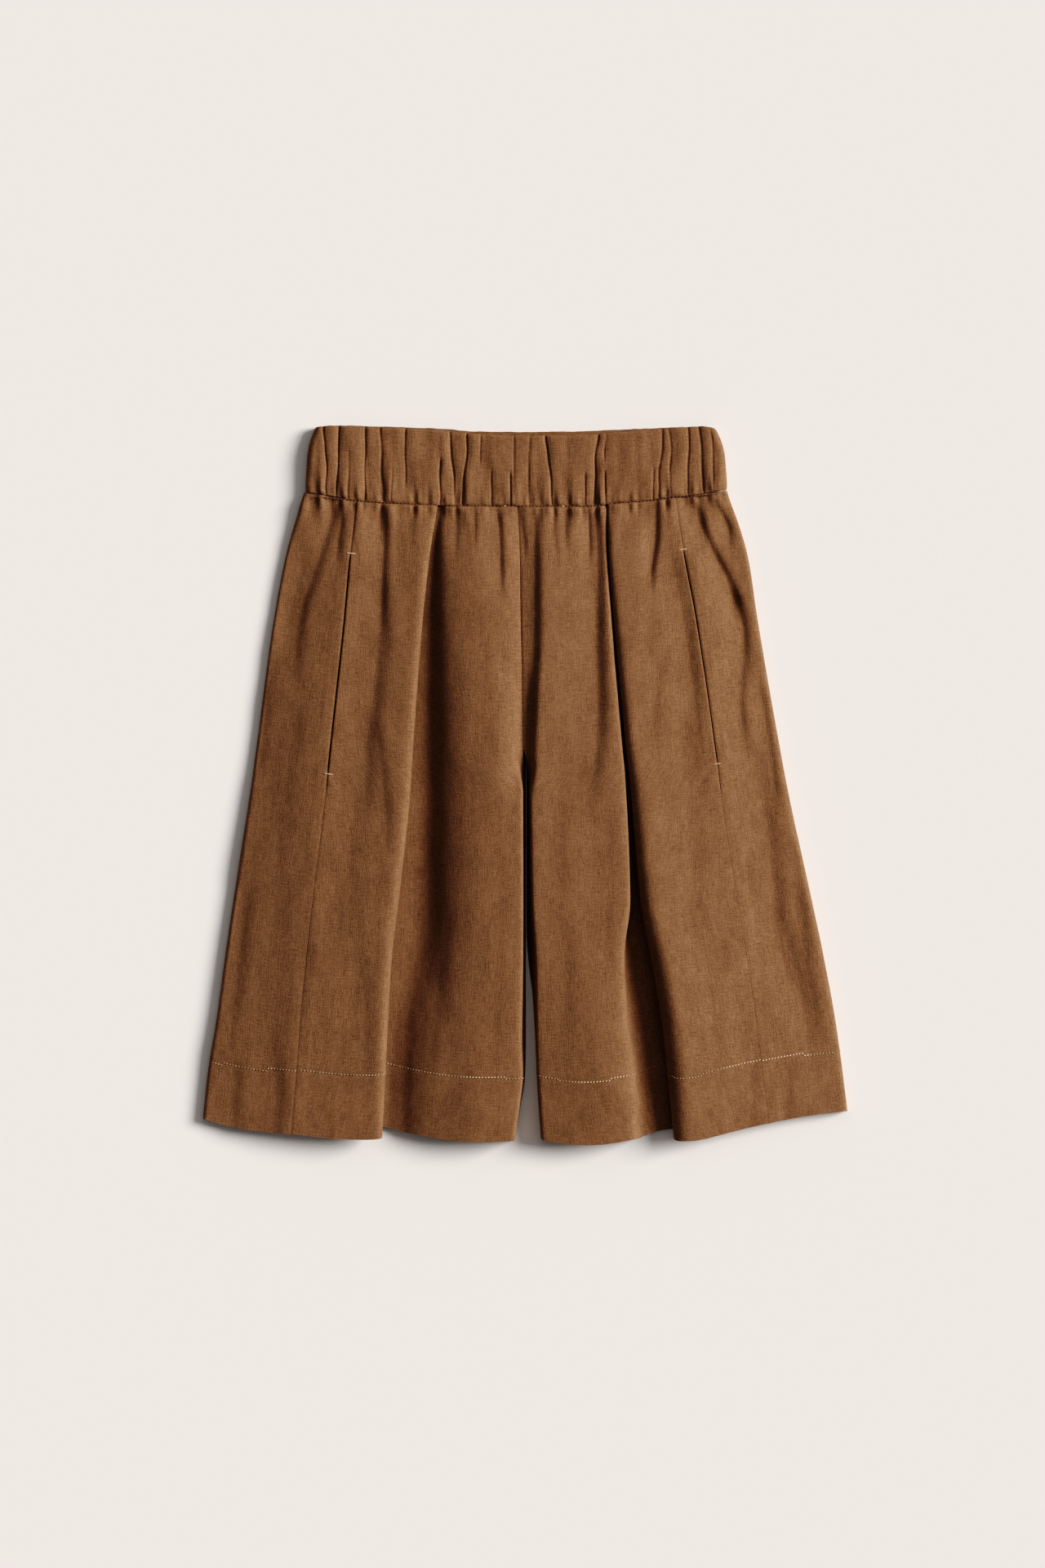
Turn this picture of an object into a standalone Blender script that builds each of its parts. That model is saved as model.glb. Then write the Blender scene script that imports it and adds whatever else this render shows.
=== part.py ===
"""Bermuda shorts of heavy linen, laid flat on their back.

The waistband points to +Y and the hems to -Y. Lengths in the tables are millimetres. In a leg's
tables u is the distance outward from the middle of the garment, so the wearer's right leg is at
X = -u and the left leg at X = +u. Each leg is one smooth section carried from the waist seam to
the hem: up from the inner edge, over the front with its forward pleat, round the outer edge and
back along the surface below. The side seam parts that section into a front and a back.
"""

import bpy
import numpy as np

MM = 0.001
COLLECTION = "bermuda_shorts"

# Cloth
CLOTH = 1.0
HALF = CLOTH / 2
SEAM_GAP = 0.3
# Moves the whole garment so that its box is centred on the origin
CENTRE_SHIFT = np.array((0.8, -1.1, 0.0))
# Turned hem: its depth, the cloth it adds inside, and the shares of the panel's length over which
# that cloth sets in
HEM_DEPTH = 50.0
HEM_FOLD = 0.8
HEM_LEAD = 0.008
HEM_STEP = 0.01
BAND_CLOTH = 2.8
BAND_HALF = BAND_CLOTH / 2

# Sides, and where the front seam ends and the legs part
LEGS = {"right": -1, "left": 1}
CROTCH_TOP = 28.0
CROTCH_LOW = -6.0
OPENING_START = 32.0
OPENING_LENGTH = 22.0

# Levels at which the guide lines meet the waist and the hem, and the length between them
WAIST_LEVEL = 222.0
HEM_LEVEL = -262.0
PANEL_LENGTH = 490.0
# Where the inner edge starts to rise to make room for the turned hem
HEM_RISE_START = -200.0
HEM_RISE_LENGTH = 12.0

# Crown of a leg: its distance from the inner edge with the legs joined and apart, its swell, and
# the width and drop of the shoulder that leads up to it from the front seam
CROWN_JOINED = 15.0
CROWN_APART = 3.0
CROWN_SWELL = 0.4
SHOULDER_WIDTH = 8.0
SHOULDER_DROP = 0.35
# Last guide point of the crown: y, share of the way from its middle to its outer end, the rise
BEFORE_RISE = {"right": ((0, 0.55), (-200, 0.55)), "left": ((-90, 0.93), (-190, 0.55))}
# Inner edge below the crotch: how far it leans out, and how far its top lies below the crown
INNER_LEAN = 0.4
INNER_DROP = 0.2
# Reach of the tuck's roll as a share of its radius
ROLL_REACH = 1.2
# Lip of the pleat: reach of its underside, lean and height of its shoulder as shares of its
# roundness and height, and the width of its top
LIP_REACH = 4.0
LIP_LEAN = 0.15
LIP_SHOULDER = 0.6
LIP_TOP_WIDTH = 10.0
# Outer edge: reach of its turn as a share of its height, and how far its guide points overshoot
TURN_REACH = 0.62
TURN_OVER = 0.4

# Sections of the legs: a row for each level, with distances outward and heights in millimetres.
# The tilt is how much lower the crown's inner side lies than its middle
LEVEL_COLUMNS = (
    "y", "outer", "z_outer", "seam", "z_seam", "lip", "z_lip", "lip_round", "z_low", "tuck",
    "tuck_roll", "foot", "z_foot", "z_floor", "rise", "z_rise", "z_crown", "tilt")
LEVELS = {
    "right": (
        (229, 171, 8.5, 130, 10, 66, 10.6, 1.6, 8.2, 18, 0.9, 64, 6.8, 6.2, 60.5, 10, 10, 0),
        (179, 185.5, 6.5, 135.1, 12.5, 74, 15.5, 3.5, 10.5, 14, 1, 69, 5.9, 5.3, 65, 13.5, 15, 0),
        (132, 194.4, 6.2, 138.9, 15, 79, 19.5, 3.5, 12.5, 12, 1.3, 70.5, 5.4, 4.8, 65, 15.5, 19.8, 1),
        (25, 209.2, 7.5, 150.3, 18, 87, 24, 3.5, 15, 10, 1.6, 71, 5.3, 4.7, 64.5, 16.5, 25, 1),
        (0, 212.6, 7.8, 152.8, 18.5, 88.5, 24.5, 3.5, 15, 10, 1.6, 71, 5.3, 4.7, 64.5, 16.5, 25.5, 0.6),
        (-90, 226.7, 9, 163.5, 19.5, 98, 26, 4, 15, 10, 1.8, 72, 4.5, 3.8, 64, 17, 26, 0),
        (-130, 232.6, 8.8, 167.8, 19.5, 103, 26, 3.5, 15, 10, 1.8, 80, 4.8, 3.9, 66, 16.5, 25.5, 0),
        (-180, 239.4, 8.5, 172.6, 19.5, 106, 25.5, 3, 14.5, 10, 2, 96, 4.6, 4.2, 66, 17, 24.5, 0),
        (-220, 245.8, 7.8, 175.1, 19, 108, 24, 3, 14, 10, 2, 103, 4.6, 4.4, 66, 17.5, 23, 0),
        (-280, 252, 7, 180.5, 16.5, 111, 20.5, 3, 12, 10, 2, 105, 5.2, 5, 66, 16, 20, 0)),
    "left": (
        (229, 155, 8.5, 114, 10, 62.2, 10.6, 1.6, 8.2, 20, 0.9, 61.4, 6.8, 6.2, 59.5, 10, 10, 0),
        (179, 171, 7.5, 121.3, 12.5, 63.4, 15.6, 3, 11, 20, 1, 62.6, 7.1, 6.5, 61.8, 14.7, 15, -1),
        (132, 178.3, 8, 130.7, 14.5, 66.8, 20, 4.5, 12.5, 18, 1.3, 66, 7.6, 7, 65.3, 18.9, 19.4, -1.6),
        (25, 196.9, 9.5, 146.5, 17, 76.6, 24, 6, 14, 14, 1.6, 75, 6.9, 6.3, 75.2, 22.2, 22.8, -1.2),
        (0, 201.6, 10, 149.5, 17, 79.4, 24.8, 7, 14, 13, 1.6, 76, 6.3, 5.7, 77.9, 22.6, 23.2, -0.8),
        (-90, 221, 11, 162.9, 17, 87.5, 27, 8, 12, 14, 1.8, 78, 5, 4.4, 81.5, 24, 25, 0),
        (-130, 229.6, 10.5, 169.4, 16.5, 95, 27.3, 10, 11.5, 13, 1.9, 73, 4.9, 4.3, 78.5, 25.5, 25.5, 1.5),
        (-180, 238.8, 9.5, 176.7, 16, 103.5, 27, 11, 11, 12, 2, 76, 4.8, 4.2, 81.5, 25.5, 25.5, 4),
        (-220, 244.4, 9, 181.6, 15, 108, 25.5, 11, 11, 11, 2, 81, 5.2, 4.6, 86.5, 24.5, 24.5, 5),
        (-280, 251.5, 7.5, 189.5, 12, 114, 20.5, 9, 11, 11, 2, 84, 5.8, 5.2, 89.5, 20.5, 20.5, 4.5)),
}

# Front seam above the crotch: y, X, height. Inner edge of each leg below it: y, distance outward
FRONT_SEAM = ((229, -7.2, 9.6), (179, -4.7, 12.8), (132, -4.1, 16.6), (80, -3.1, 19.2),
              (25, -2.2, 21.5))
INNER_EDGE = {
    "right": ((0, 1.9), (-90, 1.6), (-136, 2.0), (-161, 2.6), (-195, 3.2), (-222, 2.4), (-243, 4.6),
              (-280, 9.8)),
    "left": ((0, 2.0), (-90, 3.6), (-136, 6.3), (-161, 6.7), (-197, 7.3), (-225, 8.4), (-243, 9.6),
             (-280, 12.0))}

# Seam between the legs, on the back: y, distance outward
INSEAM = {
    "right": ((0, 0.3), (-200, 0.3), (-225, 1.0), (-245, 4.2), (-280, 9.8)),
    "left": ((0, 0.3), (-110, 0.4), (-140, 2.5), (-160, 5.0), (-197, 7.2), (-225, 8.4),
             (-280, 12.0))}

# Hem edge of each layer: distance outward, y
HEMS = {
    "right": {
        "over": ((111, -270.9), (129, -272.2), (154, -270.9), (179, -267.1), (204, -266.5),
                 (236, -262.1), (250, -255.8)),
        "under": ((8, -272.6), (34, -274.1), (60, -272.8), (78, -269.0), (104, -264.0), (111, -260.8)),
        "back": ((0, -262.0), (120, -262.0), (200, -260.0), (236, -258.0), (250, -255.8))},
    "left": {
        "over": ((118, -272.8), (130, -272.8), (142, -270.9), (152, -266.5), (167, -264.0),
                 (189, -258.9), (218, -253.3), (248, -250.1)),
        "under": ((11, -270.6), (17, -275.9), (35, -279.1), (60, -277.2), (79, -274.0), (92, -267.8),
                  (98, -264.6), (118, -263.3)),
        "back": ((0, -262.0), (120, -260.0), (200, -253.0), (248, -250.1))},
}

# Waist seam and top edge of the waistband: X, y of the front, y of the back
WAIST_SEAM = (
    (-173.0, 228.4, 228.4), (-154.0, 225.5, 226.0), (-129.0, 221.1, 223.0), (-91.0, 218.6, 221.5),
    (-45.0, 217.2, 220.5), (48.0, 216.8, 220.5), (70.0, 219.0, 221.5), (92.0, 221.1, 223.0),
    (123.0, 224.9, 226.0), (157.0, 229.4, 229.4))
BAND_TOP = (
    (-164.0, 277.8, 277.8), (-149.0, 279.1, 279.1), (-64.0, 275.3, 277.0), (-40.0, 272.6, 275.0),
    (0.0, 271.5, 274.6), (38.0, 271.6, 275.0), (88.0, 275.3, 277.0), (136.0, 278.5, 278.5),
    (148.0, 276.9, 276.9))
BAND_OUTER = {
    "right": ((278.0, 162.5), (266.0, 167.0), (254.5, 169.2), (240.0, 170.4), (228.0, 171.0)),
    "left": ((278.0, 145.5), (266.0, 151.0), (254.5, 153.4), (240.0, 154.6), (228.0, 155.3))}
BAND_RISE = 9.6
BAND_FRONT_SEAM = -9.4
# Along the band from its top edge: share of its height, share of its thickness
BAND_ROWS = ((0.0, 0.45), (0.05, 0.85), (0.25, 1.0), (0.55, 1.0), (0.85, 1.0), (1.0, 0.8))

# Folds of the front: path as x, y from the waist down, depth, half width, and the lengths over
# which its upper end sets in and its lower end dies away
FOLDS = (
    ("right side, slanting", ((-146, 224), (-160, 179), (-176, 128), (-180, 90)), 2.2, 5.0, 8, 60),
    ("right side, short", ((-140, 222), (-145, 190)), 1.5, 3.0, 8, 26),
    ("right front, upper", ((-107.5, 221), (-110.5, 180), (-112, 140)), 2.1, 3.6, 30, 40),
    ("right front, long", ((-113, 170), (-114.5, 116), (-119.5, 66), (-125, 30), (-126, -60)),
     2.4, 7.5, 50, 130),
    ("right of the pleat", ((-56, 222), (-55, 195)), 1.0, 2.6, 8, 26),
    ("right gather", ((-48, 222), (-47, 200)), 1.0, 3.0, 8, 26),
    ("right gather, short", ((-41, 222), (-40, 200)), 1.2, 2.4, 8, 26),
    ("right gather, curved", ((-24, 222), (-21, 198), (-20, 165)), 2.2, 3.0, 8, 34),
    ("front seam", ((-7, 222), (-2, 190)), 1.2, 2.6, 8, 26),
    ("middle valley", ((5.5, 222), (6.3, 170), (6.2, 120), (3.2, 66), (1.6, 30), (0.4, 10)), 3.6, 4.0, 50, 26),
    ("middle valley, low", ((3.4, 100), (2.2, 60), (0.6, 30), (0.2, 5)), 2.6, 3.6, 50, 26),
    ("left gather", ((18, 222), (22, 185)), 1.2, 3.6, 8, 34),
    ("left gather, short", ((29, 222), (30, 200)), 0.8, 2.4, 8, 26),
    ("left gather, at the pleat", ((47.5, 222), (48.5, 190)), 1.7, 2.2, 8, 30),
    ("beside the left pleat", ((54, 222), (54, 179), (53.5, 116), (54.5, 65), (54, 40), (50, 10),
                               (47, -20)), 4.6, 7.0, 30, 130),
    ("left front, short", ((100, 225), (100, 198), (96, 165)), 2.8, 3.0, 8, 36),
    ("left front, soft", ((120, 190), (124, 128), (129, 0)), 1.3, 7.0, 30, 80),
    ("left side, slanting", ((126, 226), (142, 185), (152, 166), (160, 146)), 2.8, 4.0, 8, 34),
    ("left side, near the edge", ((158, 158), (167, 116), (164, 65), (169, 30)), 2.6, 4.5, 24, 60),
    ("left side, short", ((142, 228), (156, 200)), 1.8, 3.0, 8, 26),
    ("left side, low", ((172, 40), (176, 15), (185, -35), (190, -86), (204, -136), (213, -176),
                        (218, -215)), 2.7, 8.0, 30, 90),
    ("plateau below the right pleat, raised", ((-84, -140), (-86, -180), (-87, -230), (-88, -262)),
     -4.2, 6.0, 50, 26),
)
# How far a fold runs past the lower end of its path, and how it sets in at the upper end
FOLD_END = 26.0
FOLD_START = 6.0
# Share of a fold's depth at its upper end, and how far below it the depth is full
SEAM_SHARE = 0.2
SEAM_REACH = 16.0
# How much wider a fold is on its side towards X below its path, where the cloth rises gently
GENTLE_SIDE = 3.2
# Swell beside a fold: share of its depth, place and sharpness in half widths
SWELL = 0.04
SWELL_PLACE = 1.9
SWELL_SHARPNESS = 1.5

# Gathers of the waistband: x at its top, x at its seam, depth, half width, start and end as a
# share of its height
GATHERS = (
    (-156.5, -154.0, 1.1, 2.0, 0.0, 1.0), (-145.0, -147.0, 1.1, 2.2, 0.0, 1.0),
    (-137.5, -137.5, 0.7, 2.2, 0.4, 1.0), (-124.0, -124.5, 0.9, 2.2, 0.0, 1.0),
    (-112.5, -110.5, 1.0, 2.6, 0.0, 1.0), (-104.3, -104.3, 0.8, 2.0, 0.6, 1.0),
    (-94.0, -94.0, 0.9, 2.2, 0.0, 0.7), (-65.0, -67.5, 1.2, 2.4, 0.45, 1.0),
    (-58.0, -55.0, 1.0, 2.2, 0.0, 1.0), (-45.0, -50.0, 1.2, 2.4, 0.0, 1.0),
    (-35.5, -35.5, 0.8, 2.0, 0.0, 0.35), (-26.8, -27.0, 0.8, 2.0, 0.55, 1.0),
    (-12.5, -11.5, 1.1, 2.0, 0.6, 1.0), (2.0, 2.5, 0.6, 2.6, 0.0, 1.0),
    (15.5, 20.0, 1.3, 2.4, 0.0, 1.0), (45.5, 45.5, 0.8, 2.0, 0.6, 1.0),
    (55.0, 52.0, 1.2, 2.2, 0.0, 1.0), (58.5, 60.5, 1.1, 2.2, 0.6, 1.0),
    (61.0, 61.0, 0.7, 2.0, 0.0, 0.3), (98.0, 98.0, 0.9, 2.0, 0.6, 1.0),
    (105.5, 101.7, 0.9, 2.2, 0.0, 1.0), (110.5, 112.5, 0.7, 2.4, 0.0, 1.0),
    (125.0, 125.0, 1.2, 2.2, 0.0, 1.0), (134.0, 138.0, 1.0, 2.2, 0.0, 1.0),
    (143.0, 144.0, 0.7, 2.2, 0.0, 1.0))

# Sampling of the panels: rows are shares of the way from the waist seam to the hem
PANEL_ROWS = (0.0, 0.02, 0.05, 0.09, 0.13, 0.17, 0.21, 0.26, 0.31, 0.36, 0.395, 0.425, 0.455, 0.5,
              0.58, 0.67, 0.78, 0.89, 0.9, 0.95, 1.0)
# Columns between each guide line and the next, from the inner edge outward over the front
FRONT_STEPS = (2, 2, 2, 8, 8, 2, 2, 1, 1, 2, 1, 2, 1, 2, 1, 3, 5, 5)
BACK_STEPS = (4, 4, 2, 3, 1, 1, 4, 4)
BAND_STEPS_FRONT = 54
BAND_STEPS_ROLL = 6
BAND_STEPS_BACK = 9
# Step along the section that gives the way of the cloth at the side seam, and the height within
# which cloth counts as lying on the surface
NEAR = 0.02
FLAT_WITHIN = 0.02

# Pocket bags. Distance in from the side seam, upper end, lower end, share of the seam's height
POCKET_SHAPE = ((0.0, 176, 12, 1.0), (2.5, 178, 9, 0.82), (5.0, 182, 4, 0.5), (8.0, 186, -2, 0.22),
                (14.0, 190, -10, 0.05), (26.0, 194, -20, 0.0), (48.0, 196, -27, 0.0),
                (66.0, 194, -24, 0.0), (76.0, 186, -14, 0.0), (80.0, 172, 0, 0.0))
POCKET_RING = 8
POCKET_HALF = 1.25
POCKET_HOLLOW = 0.2
POCKET_FLOOR = 2.65
POCKET_END = 70.0
# A bag's thickness at the ends of its rings and at its last ring, as shares of the whole, and how
# fast it grows from the ends
POCKET_RIM = 0.55
POCKET_FOOT = 0.6
POCKET_GROWTH = 4.0

# Levels between which the waistband's outer edge is read, and the deepest gather
BAND_LEVELS = (276.0, 224.0)
GATHER_FADE = 0.12
GATHER_LIMIT = 1.6

LINEN = (0.24, 0.11, 0.055)


def glide(at, places, values):
    """Smooth curve through values given at rising places, flat past both ends."""
    places = np.asarray(places, float)
    values = np.asarray(values, float)
    steps = np.diff(places)
    slopes = np.diff(values) / steps
    tangents = np.zeros_like(values)
    tangents[0] = slopes[0]
    tangents[-1] = slopes[-1]
    for i in range(1, len(values) - 1):
        before, after = slopes[i - 1], slopes[i]
        if before * after > 0:
            tangents[i] = 2 * before * after / (before + after)
    at = np.clip(at, places[0], places[-1])
    i = np.clip(np.searchsorted(places, at, side="right") - 1, 0, len(steps) - 1)
    t = (at - places[i]) / steps[i]
    start = values[i] * (1 + 2 * t) * (1 - t) ** 2 + tangents[i] * steps[i] * t * (1 - t) ** 2
    end = values[i + 1] * (3 - 2 * t) * t ** 2 - tangents[i + 1] * steps[i] * (1 - t) * t ** 2
    return start + end


def smooth(t):
    t = np.clip(t, 0.0, 1.0)
    return t * t * (3 - 2 * t)


def mix(a, b, t):
    return a + (b - a) * t


def column(table, index):
    return [row[index] for row in table]


def along_x(table, x, index):
    """Value of a table's column at x, where the first column is x."""
    return glide(x, column(table, 0), column(table, index))


def rising(table, y, index):
    """Value of a table's column at y, where the first column is y and falls."""
    return along_x(table[::-1], y, index)


def section(leg, y):
    """The leg's level values at y."""
    return {name: rising(LEVELS[leg], y, i) for i, name in enumerate(LEVEL_COLUMNS)}


def guide_lines(leg, y):
    """Guide points of the leg's section at y, as distance outward and height of the cloth's middle.

    They run from the inner edge over the front to the outer edge, and back along the underside.
    """
    s = section(leg, y)
    apart = smooth((CROTCH_TOP - y) / (CROTCH_TOP - CROTCH_LOW))
    opening = smooth((OPENING_START - y) / OPENING_LENGTH)
    stand = CLOTH + SEAM_GAP + HEM_FOLD * smooth((HEM_RISE_START - y) / HEM_RISE_LENGTH)
    inner = mix(LEGS[leg] * rising(FRONT_SEAM, y, 1), rising(INNER_EDGE[leg], y, 1), opening)
    inseam = mix(SEAM_GAP / 2, rising(INSEAM[leg], y, 1), opening)
    start = mix(inner + SEAM_GAP / 2, inseam + HALF, apart)
    wall = inner + HALF
    near, drop = rising(FRONT_SEAM, y, 2), SHOULDER_DROP
    top = s["z_crown"] - s["tilt"]
    crown = inner + mix(CROWN_JOINED, CROWN_APART, apart)
    lip, lip_round = s["lip"] + HALF, s["lip_round"]
    lip_top, lip_low = s["z_lip"], s["z_low"]
    tuck, roll, floor = lip + s["tuck"], s["tuck_roll"], s["z_floor"]
    tuck_top = floor + 2 * roll
    seam, z_seam = s["seam"], s["z_seam"]
    outer, z_outer = s["outer"] - HALF + TURN_OVER, s["z_outer"]
    reach = TURN_REACH * z_outer
    low = HALF + 0 * y
    return (
        (start, mix(near, stand, apart)),
        (mix(start + SHOULDER_WIDTH / 2, wall + INNER_LEAN / 2, apart),
         mix(near + drop * (top - near), top / 2, apart)),
        (mix(start + SHOULDER_WIDTH, wall + INNER_LEAN, apart),
         mix(top - drop * (top - near), top - INNER_DROP, apart)),
        (crown, top),
        (mix(crown, s["rise"], rising(BEFORE_RISE[leg], y, 1)), s["z_crown"] + CROWN_SWELL),
        (s["rise"], s["z_rise"]),
        (s["foot"], s["z_foot"]),
        (mix(s["foot"], lip, 0.6), floor),
        (tuck - ROLL_REACH * roll, floor),
        (tuck, floor),
        (tuck, tuck_top),
        (tuck - ROLL_REACH * roll, tuck_top),
        (lip + LIP_REACH, lip_low),
        (lip, lip_low),
        (lip + LIP_LEAN * lip_round, mix(lip_low, lip_top, LIP_SHOULDER)),
        (lip + lip_round, lip_top),
        (lip + lip_round + LIP_TOP_WIDTH, mix(lip_top, z_seam, 0.15)),
        (mix(lip, seam, 0.65), mix(lip_top, z_seam, 0.7)),
        (seam, z_seam),
        (mix(seam, outer, 0.5), mix(z_seam, z_outer, 0.5)),
        (outer - reach, z_outer),
        (outer, z_outer),
        (outer, low),
        (outer - reach, low),
        (outer - reach - LIP_TOP_WIDTH, low),
        (mix(outer, inseam, 0.5), low),
        (inseam, low))


SEAM_LINE = len(FRONT_STEPS)
LAST_LINE = SEAM_LINE + len(BACK_STEPS)
FIRST_OVER = 14
LAST_UNDER = 11


def hem_of(leg, index, u):
    """Y of the hem on a guide line that meets it at distance u."""
    hems = HEMS[leg]
    under = along_x(hems["under"], u, 1)
    over = along_x(hems["over"], u, 1)
    if index <= LAST_UNDER:
        return under
    if index < FIRST_OVER:
        return mix(under, over, (index - LAST_UNDER) / (FIRST_OVER - LAST_UNDER))
    back = along_x(hems["back"], u, 1)
    turned = smooth((index - SEAM_LINE - 3) / 2)
    return mix(over, back, turned)


def panel_y(leg, index, share):
    """Y of the points on a guide line at each share of the way from waist seam to hem."""
    side = LEGS[leg]
    layer = 2 if index > SEAM_LINE + 3 else 1
    top_u = guide_lines(leg, np.array(WAIST_LEVEL))[index][0]
    top = along_x(WAIST_SEAM, side * top_u, layer) - SEAM_GAP / 2
    low_u = guide_lines(leg, np.array(HEM_LEVEL))[index][0]
    return mix(top, hem_of(leg, index, low_u), share)


def spline_weights(places, count):
    """Cubic B-spline weights of count guide points at each place, ending on the end points."""
    weights = np.zeros((len(places), count + 2))
    for row, place in enumerate(places):
        i = min(int(place), count - 2)
        t = place - i
        weights[row, i:i + 4] = ((1 - t) ** 3, 3 * t ** 3 - 6 * t ** 2 + 4,
                                 -3 * t ** 3 + 3 * t ** 2 + 3 * t + 1, t ** 3)
    weights /= 6
    inside = weights[:, 1:-1].copy()
    inside[:, 0] += 2 * weights[:, 0]
    inside[:, 1] -= weights[:, 0]
    inside[:, -1] += 2 * weights[:, -1]
    inside[:, -2] -= weights[:, -1]
    return inside


def fold_depth(x, y):
    """Height that the named folds take from the cloth at x, y."""
    total = np.zeros_like(x)
    for _, path, depth, half_width, head, tail in FOLDS:
        xs, ys = zip(*path[::-1])
        centre = glide(y, ys, xs)
        fade = smooth((y - ys[0] + FOLD_END) / tail) * smooth((ys[-1] + FOLD_START - y) / head)
        fade = fade * mix(SEAM_SHARE, 1.0, smooth((ys[-1] - y) / SEAM_REACH))
        q = (x - centre) / half_width
        q = np.where(q * depth < 0, q / GENTLE_SIDE, q)
        swell = SWELL * np.exp(-SWELL_SHARPNESS * (np.abs(q) - SWELL_PLACE) ** 2)
        total += depth * fade * (np.exp(-q ** 2) - swell)
    return total


def fold_share(places, y):
    """Where folds act: on the open tops of the front, not in the tuck or down the inner edge."""
    above = smooth((y - CROTCH_LOW) / (CROTCH_TOP - CROTCH_LOW))
    inner = np.interp(places, (0, 1.5, 3), (0, 0, 1))
    inner = inner[:, None] * (1 - above) + above
    tops = np.interp(places, (5, 6, 15, 16, 20, 21), (1, 0, 0, 1, 1, 0))
    return inner * tops[:, None]


def panel_middle(leg, places, shares):
    """Points of the middle of the cloth, a row for each place across and a column for each share."""
    shares = np.asarray(shares, float)
    lines = []
    for index in range(LAST_LINE + 1):
        y = panel_y(leg, index, shares)
        u, z = guide_lines(leg, y)[index]
        lines.append(np.stack((LEGS[leg] * u, y, z + 0 * y), axis=-1))
    points = np.tensordot(spline_weights(places, len(lines)), np.array(lines), axes=1)
    behind = smooth((np.asarray(places) - SEAM_LINE - 3) / 1.0)
    first = points[:, 0]
    seam_y = mix(along_x(WAIST_SEAM, first[:, 0], 1), along_x(WAIST_SEAM, first[:, 0], 2), behind)
    shift = seam_y - SEAM_GAP / 2 - first[:, 1]
    points[..., 1] += shift[:, None] * (1 - shares) ** 3
    points[..., 2] -= fold_depth(points[..., 0], points[..., 1]) * fold_share(places, points[..., 1])
    return points


def normals_of(points, side):
    """Unit normals out of the garment, with level ones kept at the seams' ends."""
    across = np.gradient(points, axis=0)
    down = np.gradient(points, axis=1)
    normals = np.cross(down, across) * side
    for edge in (0, -1):
        normals[:, edge, 1] = 0.0
    return normals / np.linalg.norm(normals, axis=-1, keepdims=True)


def place_list(steps, first):
    """Places from guide line first on, cut into the given number of steps between lines."""
    places = [first]
    for line, count in enumerate(steps):
        places += [first + line + (i + 1) / count for i in range(count)]
    return places


def link(name, vertices, faces, material):
    mesh = bpy.data.meshes.new(name)
    mesh.from_pydata([tuple((v + CENTRE_SHIFT) * MM) for v in vertices], [], faces)
    mesh.materials.append(material)
    mesh.validate()
    mesh.shade_smooth()
    thing = bpy.data.objects.new(name, mesh)
    bpy.data.collections[COLLECTION].objects.link(thing)
    return thing


def cloth_wall(name, outside, inside, side, material):
    """One closed wall lofted between two grids of points that face each other.

    Both grids are split along the same diagonals, the more level ones, so the wall stays even
    where a fold slants across them.
    """
    across, down = outside.shape[:2]
    grid = np.arange(across * down).reshape(across, down)
    far = grid + across * down
    rim = np.concatenate((grid[:, 0], grid[-1, 1:], grid[-2::-1, -1], grid[0, -2:0:-1]))
    height = outside[..., 2]
    faces = []
    for i in range(across - 1):
        for j in range(down - 1):
            a, b, c, d = grid[i, j], grid[i, j + 1], grid[i + 1, j + 1], grid[i + 1, j]
            level = abs(height.flat[a] - height.flat[c]) < abs(height.flat[b] - height.flat[d])
            pair = ((a, b, c), (a, c, d)) if level else ((a, b, d), (b, c, d))
            for face in pair:
                faces.append(face)
                faces.append(tuple(far.flat[k] for k in face[::-1]))
    for a, b in zip(rim, np.roll(rim, -1)):
        faces.append((a, b, far.flat[b], far.flat[a]))
    if side < 0:
        faces = [face[::-1] for face in faces]
    vertices = np.concatenate((outside.reshape(-1, 3), inside.reshape(-1, 3)))
    return link(name, vertices, [tuple(int(v) for v in face) for face in faces], material)


def panel(name, leg, first, steps, trims, material):
    """A front or back: the part of the leg's section from guide line first on."""
    side = LEGS[leg]
    places = place_list(steps, first)
    middle = panel_middle(leg, places, PANEL_ROWS)
    around = panel_middle(leg, (SEAM_LINE - NEAR, SEAM_LINE, SEAM_LINE + NEAR), PANEL_ROWS)
    seam_normal = normals_of(around, side)[1]
    normals = normals_of(middle, side)
    seam_way = around[2] - around[0]
    seam_way /= np.linalg.norm(seam_way, axis=-1, keepdims=True)
    for end, sign in trims:
        middle[end] = around[1] + sign * SEAM_GAP / 2 * seam_way
        normals[end] = seam_normal
    if first == 0:
        level = smooth((middle[0, :, 1] - CROTCH_LOW) / (CROTCH_TOP - CROTCH_LOW))[:, None]
        upright = np.array((0.0, 0.0, 1.0))
        normals[0] = normals[0] * (1 - level) + upright * level
        normals[0] /= np.linalg.norm(normals[0], axis=-1, keepdims=True)
    hem_share = HEM_DEPTH / PANEL_LENGTH
    turned = smooth((np.asarray(PANEL_ROWS) - (1 - hem_share) + HEM_LEAD) / HEM_STEP)
    outside = middle + HALF * normals
    inside = middle - (HALF + HEM_FOLD * turned)[None, :, None] * normals
    flat = np.abs(outside[..., 2]) < FLAT_WITHIN
    outside[..., 2][flat] = 0.0
    return cloth_wall(name, outside, inside, side, material)


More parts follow.
